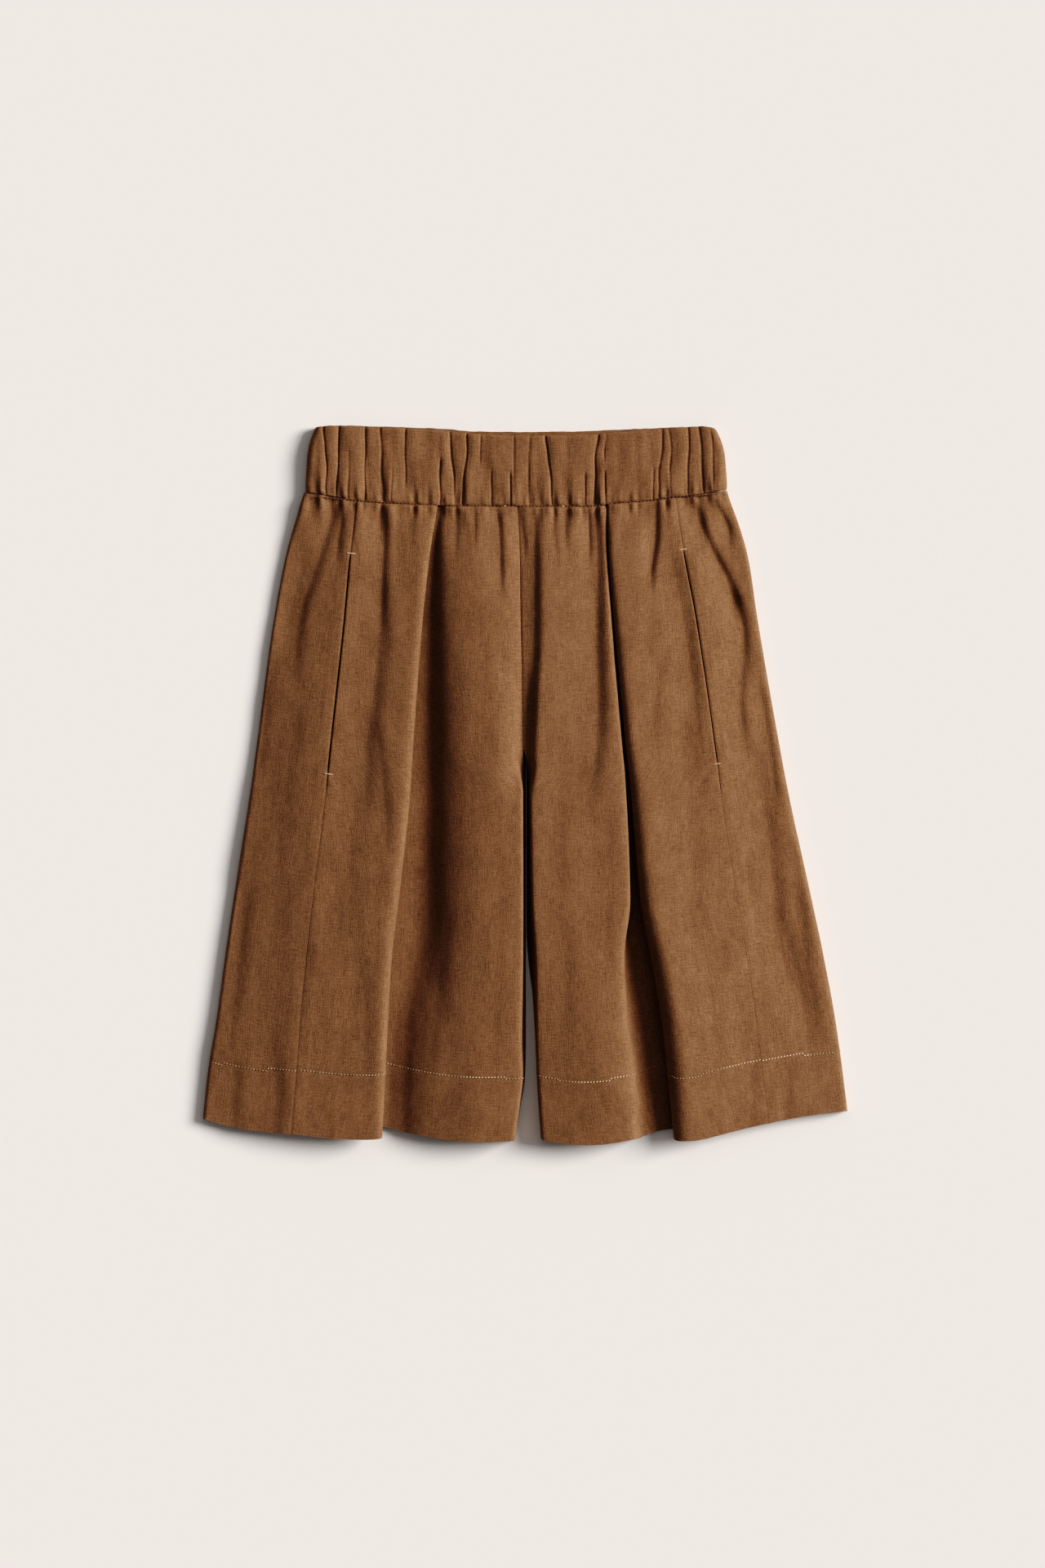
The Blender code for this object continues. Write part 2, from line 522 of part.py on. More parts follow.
def waistband(name, leg, material):
    """Half of the waistband, from the front seam round the side to the back seam."""
    side = LEGS[leg]
    start = side * BAND_FRONT_SEAM + SEAM_GAP / 2
    stop = SEAM_GAP / 2
    front = np.linspace(0, 1, BAND_STEPS_FRONT + 1)
    turn = np.linspace(0, np.pi, BAND_STEPS_ROLL + 1)[1:-1]
    back = np.linspace(0, 1, BAND_STEPS_BACK + 1)
    radius = (BAND_RISE - BAND_HALF) / 2
    centre_z = BAND_HALF + radius
    outside, inside = [], []
    for share, fill in BAND_ROWS:
        ring, ways = [], []
        y_mid = mix(*BAND_LEVELS, share)
        edge = BAND_OUTER[leg][::-1]
        outer = float(along_x(edge, np.array(y_mid), 1)) - BAND_HALF
        bend = outer - radius
        for t in front:
            ring.append((mix(start, bend, t), BAND_RISE, 0))
            ways.append((0, 1))
        for a in turn:
            ring.append((bend + radius * np.sin(a), centre_z + radius * np.cos(a), a / np.pi))
            ways.append((np.sin(a), np.cos(a)))
        for t in back:
            ring.append((mix(bend, stop, t), BAND_HALF, 1))
            ways.append((0, -1))
        u, z, behind = np.array(ring).T
        x = side * u
        top = mix(along_x(BAND_TOP, x, 1), along_x(BAND_TOP, x, 2), behind)
        low = mix(along_x(WAIST_SEAM, x, 1), along_x(WAIST_SEAM, x, 2), behind) + SEAM_GAP / 2
        y = mix(top, low, share)
        ways = np.array(ways, float)
        way = np.stack((side * ways[:, 0], 0 * x, ways[:, 1]), axis=-1)
        point = np.stack((x, y, z), axis=-1)
        dip = gather_depth(x, share) * (behind == 0) * smooth((u - start) / 3)
        out = (BAND_HALF - dip) * fill
        rest = behind > 0.999
        out = np.where(rest, BAND_HALF, out)
        outside.append(point + out[:, None] * way)
        inside.append(point - (BAND_HALF * fill) * way)
    outside = np.array(outside).transpose(1, 0, 2)
    inside = np.array(inside).transpose(1, 0, 2)
    return cloth_wall(name, outside, inside, side, material)


def gather_depth(x, share):
    """Depth of the waistband's gathers at x, at a share of its height."""
    total = np.zeros_like(x)
    for x_top, x_seam, depth, half_width, start, end in GATHERS:
        q = (x - mix(x_top, x_seam, share)) / half_width
        fade = smooth((share - start) / GATHER_FADE + 1) * smooth((end - share) / GATHER_FADE + 1)
        total += depth * fade * np.exp(-q ** 2)
    return np.minimum(total, GATHER_LIMIT)


def pocket(name, leg, material):
    """Bag behind a pocket mouth: two layers closed all round but for the mouth below the seam."""
    side = LEGS[leg]
    rings = []
    sweep = np.linspace(0, 1, POCKET_RING)
    for half in (POCKET_HALF, POCKET_HOLLOW):
        layer = []
        for distance, upper, lower, height in POCKET_SHAPE:
            shrink = POCKET_HALF - half
            y = mix(upper - shrink, lower + shrink, sweep)
            s = section(leg, y)
            u = s["seam"] - distance + shrink * (distance > POCKET_END)
            sunk = fold_depth(side * u, y)
            top = s["z_seam"] - HALF - SEAM_GAP - POCKET_HALF - np.maximum(sunk, 0)
            z = mix(POCKET_FLOOR, top, height)
            layer.append(np.stack((side * u, y, z), axis=-1))
        rings.append(np.array(layer))
    outer_mid, inner_mid = rings
    down = np.gradient(outer_mid, axis=0)
    run = np.gradient(outer_mid, axis=1)
    normal = np.cross(run, down) * side
    normal /= np.linalg.norm(normal, axis=-1, keepdims=True)
    edge = np.minimum(1.0, POCKET_GROWTH * np.minimum(sweep, 1 - sweep) + POCKET_RIM)[None, :, None]
    end = np.ones(len(POCKET_SHAPE))
    end[-1] = POCKET_FOOT
    thick = POCKET_HALF * edge * end[:, None, None]
    hollow = POCKET_HOLLOW * np.ones_like(thick)
    loops = []
    for mid, size in ((outer_mid, thick), (inner_mid, hollow)):
        upper = mid + size * normal
        lower = mid - size * normal
        loops.append(np.concatenate((upper, lower[:, ::-1]), axis=1))
    outer_loops, inner_loops = loops
    return closed_bag(name, outer_loops, inner_loops, side, material)


def closed_bag(name, outer_loops, inner_loops, side, material):
    """Closed wall from loops round its outside and inside, open at the first loop."""
    count, ring = outer_loops.shape[:2]
    outer = np.arange(count * ring).reshape(count, ring)
    inner = outer + count * ring
    faces = []
    for i in range(count - 1):
        for j in range(ring):
            k = (j + 1) % ring
            faces.append((outer[i, j], outer[i, k], outer[i + 1, k], outer[i + 1, j]))
            faces.append((inner[i, j], inner[i + 1, j], inner[i + 1, k], inner[i, k]))
    half = ring // 2
    for j in range(half - 1):
        k = ring - 1 - j
        faces.append((outer[-1, j], outer[-1, j + 1], outer[-1, k - 1], outer[-1, k]))
        faces.append((inner[-1, k], inner[-1, k - 1], inner[-1, j + 1], inner[-1, j]))
    for j in range(ring):
        k = (j + 1) % ring
        faces.append((outer[0, k], outer[0, j], inner[0, j], inner[0, k]))
    if side < 0:
        faces = [face[::-1] for face in faces]
    vertices = np.concatenate((outer_loops.reshape(-1, 3), inner_loops.reshape(-1, 3)))
    return link(name, vertices, [tuple(int(v) for v in face) for face in faces], material)


def linen(name, colour, roughness):
    material = bpy.data.materials.new(name)
    material.use_nodes = True
    shader = material.node_tree.nodes["Principled BSDF"]
    shader.inputs["Base Color"].default_value = (*colour, 1.0)
    shader.inputs["Roughness"].default_value = roughness
    shader.inputs["Metallic"].default_value = 0.0
    return material


def clear_scene():
    for thing in list(bpy.data.objects):
        bpy.data.objects.remove(thing, do_unlink=True)
    collection = bpy.data.collections.new(COLLECTION)
    bpy.context.scene.collection.children.link(collection)


def build():
    clear_scene()
    for leg in LEGS:
        front_cloth = linen(f"linen_front_{leg}", LINEN, 0.9)
        back_cloth = linen(f"linen_back_{leg}", LINEN, 0.9)
        band_cloth = linen(f"linen_band_{leg}", LINEN, 0.9)
        bag_cloth = linen(f"linen_pocket_{leg}", LINEN, 0.9)
        panel(f"front_{leg}", leg, 0, FRONT_STEPS, ((-1, -1),), front_cloth)
        panel(f"back_{leg}", leg, SEAM_LINE, BACK_STEPS, ((0, 1),), back_cloth)
        waistband(f"waistband_{leg}", leg, band_cloth)
        pocket(f"pocket_{leg}", leg, bag_cloth)


build()
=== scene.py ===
"""Looks of the linen bermuda shorts: shells of cloth on the CAD form, thread, floor, light, camera.

Lengths in the tables are millimetres, and the tables of the form are those of the part's source.
The waistband points to +Y and the hems to -Y. In a leg's tables u is the distance outward from
the middle of the garment, so the wearer's right leg is at X = -u and the left leg at X = +u.
"""

import math

import bpy
import numpy as np
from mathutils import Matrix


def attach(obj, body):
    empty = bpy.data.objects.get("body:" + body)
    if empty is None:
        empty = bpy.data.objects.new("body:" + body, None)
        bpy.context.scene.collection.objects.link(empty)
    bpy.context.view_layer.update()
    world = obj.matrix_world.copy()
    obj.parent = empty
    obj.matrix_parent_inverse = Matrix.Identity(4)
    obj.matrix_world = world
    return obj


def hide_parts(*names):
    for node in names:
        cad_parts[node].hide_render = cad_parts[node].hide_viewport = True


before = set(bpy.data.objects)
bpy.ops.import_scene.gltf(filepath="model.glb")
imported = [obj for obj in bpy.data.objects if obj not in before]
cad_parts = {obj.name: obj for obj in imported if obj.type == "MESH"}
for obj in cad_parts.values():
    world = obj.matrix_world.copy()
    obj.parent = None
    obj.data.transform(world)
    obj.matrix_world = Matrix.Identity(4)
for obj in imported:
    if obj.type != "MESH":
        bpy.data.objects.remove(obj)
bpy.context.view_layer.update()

MM = 0.001
LEGS = {"right": -1, "left": 1}
UPRIGHT = (0.0, 0.0, 1.0)

# Cloth: from its middle to its outside and to its inside, and the cloth that a turned hem adds
CLOTH = 1.0
HALF = CLOTH / 2
INNER_HALF = 0.35
HEM_FOLD = 0.8
BAND_HALF = 1.4
SEAM_GAP = 0.3
# Moves the whole garment so that its box is centred on the origin
CENTRE_SHIFT = np.array((0.8, -1.1, 0.0))

# Where the front seam ends and the legs part
CROTCH_TOP = 28.0
CROTCH_LOW = -6.0
OPENING_START = 32.0
OPENING_LENGTH = 22.0
# Levels at which the guide lines meet the waist and the hem, and where the inner edge starts to
# rise to make room for the turned hem
WAIST_LEVEL = 222.0
HEM_LEVEL = -262.0
HEM_RISE_START = -200.0
HEM_RISE_LENGTH = 12.0

# Crown of a leg: its distance from the inner edge with the legs joined and apart, its swell, and
# the width and drop of the shoulder that leads up to it from the front seam
CROWN_JOINED = 15.0
CROWN_APART = 3.0
CROWN_SWELL = 0.4
SHOULDER_WIDTH = 8.0
SHOULDER_DROP = 0.35
# Last guide point of the crown: y, share of the way from its middle to its outer end, the rise
BEFORE_RISE = {"right": ((0, 0.55), (-200, 0.55)), "left": ((-90, 0.93), (-190, 0.55))}
# Inner edge below the crotch: how far it leans out, and how far its top lies below the crown
INNER_LEAN = 0.4
INNER_DROP = 0.2
# Reach of the tuck's roll as a share of its radius
ROLL_REACH = 1.2
# Lip of the pleat: reach of its underside, lean and height of its shoulder as shares of its
# roundness and height, and the width of its top
LIP_REACH = 4.0
LIP_LEAN = 0.15
LIP_SHOULDER = 0.6
LIP_TOP_WIDTH = 10.0
# Guide points beside the lip as shares: the one under it, and the drop and places of those past it
UNDER_LIP = 0.6
LIP_DROP = 0.15
PAST_LIP = (0.65, 0.7)
# Outer edge: reach of its turn as a share of its height, and how far its guide points overshoot
TURN_REACH = 0.62
TURN_OVER = 0.4

# Sections of the legs: a row for each level, with distances outward and heights. The tilt is how
# much lower the crown's inner side lies than its middle
LEVEL_COLUMNS = (
    "y", "outer", "z_outer", "seam", "z_seam", "lip", "z_lip", "lip_round", "z_low", "tuck",
    "tuck_roll", "foot", "z_foot", "z_floor", "rise", "z_rise", "z_crown", "tilt")
LEVELS = {
    "right": (
        (229, 171, 8.5, 130, 10, 66, 10.6, 1.6, 8.2, 18, 0.9, 64, 6.8, 6.2, 60.5, 10, 10, 0),
        (179, 185.5, 6.5, 135.1, 12.5, 74, 15.5, 3.5, 10.5, 14, 1, 69, 5.9, 5.3, 65, 13.5, 15, 0),
        (132, 194.4, 6.2, 138.9, 15, 79, 19.5, 3.5, 12.5, 12, 1.3, 70.5, 5.4, 4.8, 65, 15.5, 19.8, 1),
        (25, 209.2, 7.5, 150.3, 18, 87, 24, 3.5, 15, 10, 1.6, 71, 5.3, 4.7, 64.5, 16.5, 25, 1),
        (0, 212.6, 7.8, 152.8, 18.5, 88.5, 24.5, 3.5, 15, 10, 1.6, 71, 5.3, 4.7, 64.5, 16.5, 25.5, 0.6),
        (-90, 226.7, 9, 163.5, 19.5, 98, 26, 4, 15, 10, 1.8, 72, 4.5, 3.8, 64, 17, 26, 0),
        (-130, 232.6, 8.8, 167.8, 19.5, 103, 26, 3.5, 15, 10, 1.8, 80, 4.8, 3.9, 66, 16.5, 25.5, 0),
        (-180, 239.4, 8.5, 172.6, 19.5, 106, 25.5, 3, 14.5, 10, 2, 96, 4.6, 4.2, 66, 17, 24.5, 0),
        (-220, 245.8, 7.8, 175.1, 19, 108, 24, 3, 14, 10, 2, 103, 4.6, 4.4, 66, 17.5, 23, 0),
        (-280, 252, 7, 180.5, 16.5, 111, 20.5, 3, 12, 10, 2, 105, 5.2, 5, 66, 16, 20, 0)),
    "left": (
        (229, 155, 8.5, 114, 10, 62.2, 10.6, 1.6, 8.2, 20, 0.9, 61.4, 6.8, 6.2, 59.5, 10, 10, 0),
        (179, 171, 7.5, 121.3, 12.5, 63.4, 15.6, 3, 11, 20, 1, 62.6, 7.1, 6.5, 61.8, 14.7, 15, -1),
        (132, 178.3, 8, 130.7, 14.5, 66.8, 20, 4.5, 12.5, 18, 1.3, 66, 7.6, 7, 65.3, 18.9, 19.4, -1.6),
        (25, 196.9, 9.5, 146.5, 17, 76.6, 24, 6, 14, 14, 1.6, 75, 6.9, 6.3, 75.2, 22.2, 22.8, -1.2),
        (0, 201.6, 10, 149.5, 17, 79.4, 24.8, 7, 14, 13, 1.6, 76, 6.3, 5.7, 77.9, 22.6, 23.2, -0.8),
        (-90, 221, 11, 162.9, 17, 87.5, 27, 8, 12, 14, 1.8, 78, 5, 4.4, 81.5, 24, 25, 0),
        (-130, 229.6, 10.5, 169.4, 16.5, 95, 27.3, 10, 11.5, 13, 1.9, 73, 4.9, 4.3, 78.5, 25.5, 25.5, 1.5),
        (-180, 238.8, 9.5, 176.7, 16, 103.5, 27, 11, 11, 12, 2, 76, 4.8, 4.2, 81.5, 25.5, 25.5, 4),
        (-220, 244.4, 9, 181.6, 15, 108, 25.5, 11, 11, 11, 2, 81, 5.2, 4.6, 86.5, 24.5, 24.5, 5),
        (-280, 251.5, 7.5, 189.5, 12, 114, 20.5, 9, 11, 11, 2, 84, 5.8, 5.2, 89.5, 20.5, 20.5, 4.5)),
}

# Front seam above the crotch: y, X, height. Inner edge of each leg below it: y, distance outward
FRONT_SEAM = ((229, -7.2, 9.6), (179, -4.7, 12.8), (132, -4.1, 16.6), (80, -3.1, 19.2),
              (25, -2.2, 21.5))
INNER_EDGE = {
    "right": ((0, 1.9), (-90, 1.6), (-136, 2.0), (-161, 2.6), (-195, 3.2), (-222, 2.4), (-243, 4.6),
              (-280, 9.8)),
    "left": ((0, 2.0), (-90, 3.6), (-136, 6.3), (-161, 6.7), (-197, 7.3), (-225, 8.4), (-243, 9.6),
             (-280, 12.0))}

# Seam between the legs, on the back: y, distance outward
INSEAM = {
    "right": ((0, 0.3), (-200, 0.3), (-225, 1.0), (-245, 4.2), (-280, 9.8)),
    "left": ((0, 0.3), (-110, 0.4), (-140, 2.5), (-160, 5.0), (-197, 7.2), (-225, 8.4),
             (-280, 12.0))}

# Hem edge of each layer: distance outward, y
HEMS = {
    "right": {
        "over": ((111, -270.9), (129, -272.2), (154, -270.9), (179, -267.1), (204, -266.5),
                 (236, -262.1), (250, -255.8)),
        "under": ((8, -272.6), (34, -274.1), (60, -272.8), (78, -269.0), (104, -264.0),
                  (111, -260.8)),
        "back": ((0, -262.0), (120, -262.0), (200, -260.0), (236, -258.0), (250, -255.8))},
    "left": {
        "over": ((118, -272.8), (130, -272.8), (142, -270.9), (152, -266.5), (167, -264.0),
                 (189, -258.9), (218, -253.3), (248, -250.1)),
        "under": ((11, -270.6), (17, -275.9), (35, -279.1), (60, -277.2), (79, -274.0),
                  (92, -267.8), (98, -264.6), (118, -263.3)),
        "back": ((0, -262.0), (120, -260.0), (200, -253.0), (248, -250.1))},
}

# Waist seam and top edge of the waistband: X, y of the front, y of the back
WAIST_SEAM = (
    (-173.0, 228.4, 228.4), (-154.0, 225.5, 226.0), (-129.0, 221.1, 223.0), (-91.0, 218.6, 221.5),
    (-45.0, 217.2, 220.5), (48.0, 216.8, 220.5), (70.0, 219.0, 221.5), (92.0, 221.1, 223.0),
    (123.0, 224.9, 226.0), (157.0, 229.4, 229.4))
BAND_TOP = (
    (-164.0, 277.8, 277.8), (-149.0, 279.1, 279.1), (-64.0, 275.3, 277.0), (-40.0, 272.6, 275.0),
    (0.0, 271.5, 274.6), (38.0, 271.6, 275.0), (88.0, 275.3, 277.0), (136.0, 278.5, 278.5),
    (148.0, 276.9, 276.9))
# Waistband: distance outward of its edge at y on each side, height of its upper layer, X of the
# front seam, and the levels between which the edge is read
BAND_OUTER = {
    "right": ((278.0, 162.5), (266.0, 167.0), (254.5, 169.2), (240.0, 170.4), (228.0, 171.0)),
    "left": ((278.0, 145.5), (266.0, 151.0), (254.5, 153.4), (240.0, 154.6), (228.0, 155.3))}
BAND_RISE = 9.6
BAND_FRONT_SEAM = -9.4
BAND_LEVELS = (276.0, 224.0)
BAND_HEIGHT = 53.0
# Half gaps at its front and back seams, and the length over which gathers set in at the front one
BAND_GAPS = (0.1, 0.02)
BAND_SETTING_IN = 1.5
# Where its top and its seam round off, as a share of the height, and the least fullness there
BAND_TOP_ROUND = (0.035, 0.25)
BAND_SEAM_ROUND = (0.05, 0.3)
# Unevenness of its top edge, whose back is two lengths away, and puffs of its cloth: height, width,
# length, seed. Shares of the puffs, the gathers and the puckers
BAND_EDGE = (0.25, 4.0, 20.0, 41)
BAND_PUFFS = ((1.0, 11.0, 34.0, 42), (0.3, 4.5, 20.0, 43))
PUFF_SHARE = 0.7
DIP_SHARE = 1.2
PUCKER_SHARE = 0.7
# Depth and half width of its front seam. Creases of its back and its lining: depth, width, length,
# seed, sharpness. The lining's thickness is a share of the outside's
BAND_SEAM_DIP = (0.5, 0.9)
BAND_BACK_CREASES = (1.1, 6.0, 90.0, 44, 0.22)
BAND_LINING_CREASES = (0.7, 6.0, 90.0, 45, 0.25)
BAND_LINING = 0.9
# Where its upper side ends and its back starts, as shares of the turn between them
BAND_TURN = (0.3, 0.7)

# Folds of the front: path as x, y from the waist down, depth, half width, and the lengths over
# which its upper end sets in and its lower end dies away
FOLDS = (
    ("right side, slanting", ((-146, 224), (-160, 179), (-176, 128), (-180, 90)), 2.2, 5.0, 8, 60),
    ("right side, short", ((-140, 222), (-145, 190)), 1.5, 3.0, 8, 26),
    ("right front, upper", ((-107.5, 221), (-110.5, 180), (-112, 140)), 2.1, 3.6, 30, 40),
    ("right front, long", ((-113, 170), (-114.5, 116), (-119.5, 66), (-125, 30), (-126, -60)),
     2.4, 7.5, 50, 130),
    ("right of the pleat", ((-56, 222), (-55, 195)), 1.0, 2.6, 8, 26),
    ("right gather", ((-48, 222), (-47, 200)), 1.0, 3.0, 8, 26),
    ("right gather, short", ((-41, 222), (-40, 200)), 1.2, 2.4, 8, 26),
    ("right gather, curved", ((-24, 222), (-21, 198), (-20, 165)), 2.2, 3.0, 8, 34),
    ("front seam", ((-7, 222), (-2, 190)), 1.2, 2.6, 8, 26),
    ("middle valley", ((5.5, 222), (6.3, 170), (6.2, 120), (3.2, 66), (1.6, 30), (0.4, 10)),
     3.6, 4.0, 50, 26),
    ("middle valley, low", ((3.4, 100), (2.2, 60), (0.6, 30), (0.2, 5)), 2.6, 3.6, 50, 26),
    ("left gather", ((18, 222), (22, 185)), 1.2, 3.6, 8, 34),
    ("left gather, short", ((29, 222), (30, 200)), 0.8, 2.4, 8, 26),
    ("left gather, at the pleat", ((47.5, 222), (48.5, 190)), 1.7, 2.2, 8, 30),
    ("beside the left pleat", ((54, 222), (54, 179), (53.5, 116), (54.5, 65), (54, 40), (50, 10),
                               (47, -20)), 4.6, 7.0, 30, 130),
    ("left front, short", ((100, 225), (100, 198), (96, 165)), 2.8, 3.0, 8, 36),
    ("left front, soft", ((120, 190), (124, 128), (129, 0)), 1.3, 7.0, 30, 80),
    ("left side, slanting", ((126, 226), (142, 185), (152, 166), (160, 146)), 2.8, 4.0, 8, 34),
    ("left side, near the edge", ((158, 158), (167, 116), (164, 65), (169, 30)), 2.6, 4.5, 24, 60),
    ("left side, short", ((142, 228), (156, 200)), 1.8, 3.0, 8, 26),
    ("left side, low", ((172, 40), (176, 15), (185, -35), (190, -86), (204, -136), (213, -176),
                        (218, -215)), 2.7, 8.0, 30, 90),
    ("plateau below the right pleat, raised", ((-84, -140), (-86, -180), (-87, -230), (-88, -262)),
     -4.2, 6.0, 50, 26),
)
# How far past its path's ends a fold reaches, and how much wider its gentle side is: the side of a
# trough toward -X, and of a ridge toward +X
FOLD_START = 6.0
FOLD_END = 26.0
GENTLE_SIDE = 3.2
# Share of a fold's depth at its upper end, and how far below it the depth is full
SEAM_SHARE = 0.2
SEAM_REACH = 16.0
# Swell beside a fold: its height, its distance and its sharpness, as shares of the fold's size
SWELL = 0.04
SWELL_PLACE = 1.9
SWELL_SHARPNESS = 1.5

# Smaller creases that only the cloth here has: path, depth, half width and length of the lower end
CREASES = (
    # Right leg, from its side to its inner slope
    (((-132, 218), (-134, 196), (-131, 180)), 0.7, 2.0, 70),
    (((-170, 196), (-180, 150), (-188, 100)), 0.8, 7.0, 70),
    (((-176, 70), (-186, 10), (-194, -60), (-199, -130)), 1.1, 9.0, 70),
    (((-183, -60), (-192, -130), (-198, -200), (-200, -235)), 0.9, 7.0, 70),
    (((-168, -40), (-172, -120), (-176, -190)), 0.8, 6.0, 70),
    (((-134, 10), (-138, -60), (-137, -120)), 0.9, 8.0, 70),
    (((-128, -120), (-126, -180), (-128, -230)), 0.9, 7.0, 70),
    (((-38, 150), (-36, 60), (-33, -40)), 0.7, 8.0, 70),
    (((-22, -40), (-24, -120), (-26, -200)), 0.7, 7.0, 70),
    (((-60, -90), (-68, -150), (-76, -220)), 1.0, 6.0, 70),
    # Left leg, from its inner edge to its side
    (((38, 140), (37, 60), (40, -30)), 0.8, 7.0, 70),
    (((26, 60), (24, -40), (28, -140), (30, -210)), 0.8, 7.0, 70),
    (((62, -10), (60, -90), (66, -170)), 0.9, 7.0, 70),
    (((88, 150), (96, 60), (106, -30)), 0.7, 8.0, 70),
    (((116, 60), (126, -50), (138, -150), (144, -220)), 0.9, 9.0, 70),
    (((110, 190), (124, 110), (132, 50)), 0.8, 4.0, 70),
    (((168, -40), (176, -130), (184, -210)), 0.7, 6.0, 70),
    (((150, 190), (166, 120), (174, 70)), 0.8, 5.0, 70),
    (((204, -60), (216, -140), (226, -200)), 1.1, 5.0, 70),
    # Edges, and slanting ones between the folds
    (((178, 90), (186, 40), (192, -6)), 1.6, 4.0, 40),
    (((204, -36), (209, -62), (214, -100)), 1.0, 4.0, 40),
    (((186, -76), (194, -118), (206, -160)), 1.0, 4.5, 50),
    (((-196, 110), (-203, 60), (-208, 10)), 1.2, 5.0, 50),
    (((-214, -60), (-222, -120), (-230, -190)), 1.3, 6.0, 60),
    (((-118, 60), (-112, 10), (-108, -30)), 1.0, 4.5, 40),
    (((108, 120), (100, 80), (96, 40)), 0.8, 5.0, 40),
    # Hems
    (((196, -190), (199, -225), (200, -262)), 1.0, 5.0, 26),
    (((176, -180), (174, -222), (172, -262)), 0.9, 5.0, 26),
    (((-226, -200), (-228, -262)), 1.2, 6.0, 26),
    (((-196, -190), (-194, -230), (-196, -262)), 1.0, 6.0, 26),
)
CREASE_HEAD = 34
LARGE_FOLDS = [row[1:] for row in FOLDS]
SMALL_FOLDS = [(*row[:3], CREASE_HEAD, row[3]) for row in CREASES]

# Gathers of the waistband: x at its top, x at its seam, depth, half width, start and end as a
# share of its height
GATHERS = (
    (-156.5, -154.0, 1.4, 1.3, 0.0, 1.0), (-145.0, -147.0, 1.4, 1.4, 0.0, 1.0),
    (-137.5, -137.5, 0.7, 1.8, 0.4, 1.0), (-124.0, -124.5, 1.0, 1.6, 0.0, 1.0),
    (-112.5, -110.5, 1.1, 2.2, 0.0, 1.0), (-104.3, -104.3, 0.9, 1.6, 0.6, 1.0),
    (-94.0, -94.0, 1.0, 1.8, 0.0, 0.7), (-65.0, -67.5, 1.4, 1.8, 0.45, 1.0),
    (-58.0, -55.0, 1.2, 1.8, 0.0, 1.0), (-45.0, -50.0, 1.6, 1.7, 0.0, 1.0),
    (-35.5, -35.5, 0.8, 1.6, 0.0, 0.35), (-26.8, -27.0, 0.9, 1.6, 0.55, 1.0),
    (-12.5, -11.5, 1.3, 1.6, 0.6, 1.0), (2.0, 2.5, 0.7, 2.4, 0.0, 1.0),
    (15.5, 20.0, 1.6, 1.7, 0.0, 1.0), (45.5, 45.5, 0.9, 1.6, 0.6, 1.0),
    (55.0, 52.0, 1.6, 1.5, 0.0, 1.0), (58.5, 60.5, 1.3, 1.6, 0.6, 1.0),
    (61.0, 61.0, 0.7, 1.6, 0.0, 0.3), (98.0, 98.0, 1.0, 1.6, 0.6, 1.0),
    (105.5, 101.7, 1.0, 1.8, 0.0, 1.0), (110.5, 112.5, 0.8, 2.0, 0.0, 1.0),
    (125.0, 125.0, 1.5, 1.7, 0.0, 1.0), (134.0, 138.0, 1.1, 1.8, 0.0, 1.0),
    (143.0, 144.0, 0.8, 1.8, 0.0, 1.0))
# Share of the height over which a gather sets in or ends, and the deepest that gathers add up to
GATHER_FADE = 0.12
GATHER_LIMIT = 2.1
# Unevenness of a gather's place in millimetres, and of its depth as a mean share and a change, and
# the length as a share of the height and the first seed of each
GATHER_WAVER = 1.1
GATHER_SHARE = 0.85
GATHER_CHANGE = 0.35
WAVER_NOISE = (0.3, 100)
CHANGE_NOISE = (0.25, 140)
# A gather is a sharp crease in a wider hollow: shares of its depth and of its half width
CREASE_SHARE = 0.75
CREASE_WIDTH = 0.5
HOLLOW_SHARE = 0.5
HOLLOW_WIDTH = 2.0

# Pocket bags. Distance in from the side seam, upper end, lower end, share of the seam's height
POCKET_SHAPE = ((0.0, 176, 12, 1.0), (2.5, 178, 9, 0.82), (5.0, 182, 4, 0.5), (8.0, 186, -2, 0.22),
                (14.0, 190, -10, 0.05), (26.0, 194, -20, 0.0), (48.0, 196, -27, 0.0),
                (66.0, 194, -24, 0.0), (76.0, 186, -14, 0.0), (80.0, 172, 0, 0.0))
# Half thickness of a bag and of the hollow in it, height of its middle above the floor, and the
# distance from the side seam past which its end lies
POCKET_HALF = 1.25
POCKET_HOLLOW = 0.2
POCKET_FLOOR = 2.65
POCKET_END = 70.0
# Room between a bag's cloth and the front's, a bag's thickness at the ends of its rings and at its
# last ring, as shares of the whole, and how fast it grows from the ends
POCKET_ROOM = 0.6
POCKET_RIM = 0.55
POCKET_FOOT = 0.6
POCKET_GROWTH = 10.0
# Pocket mouths along the side seam: upper and lower bartack, and the end of the loose seam, in y
MOUTHS = {"right": (180.0, 10.5, -8.0), "left": (184.0, 18.0, -10.0)}
# Depth of the groove of the side seam below its pocket
SEAM_GROOVE = {"right": 0.22, "left": 0.10}

# Grid of each shell: columns across and rows down, odd so that every second one ends on the edge
FRONT_GRID = (225, 325)
BACK_GRID = (187, 241)
BAND_ROWS = 37
BAND_FRONT = 420
BAND_ROLL = 16
BAND_BACK = 161
POCKET_GRID = (37, 48)
# How densely the hidden layers of a pleat are divided, as a share of the rest: place, share
HIDDEN_SHARES = ((7.5, 1), (8.5, 0.35), (13.2, 0.35), (14.0, 1))
# Samples across and down that even out the columns
EVEN_SAMPLES = (1500, 9)
# Step along the section that gives the way of the cloth at the side seam
NEAR = 0.02

# Guide lines: the side seam, the last one, the first of the pleat's lip, the last below it, and how
# many lines past the side seam the back starts
SEAM_LINE = 18
LAST_LINE = 26
FIRST_OVER = 14
LAST_UNDER = 11
TURN_LINES = 3

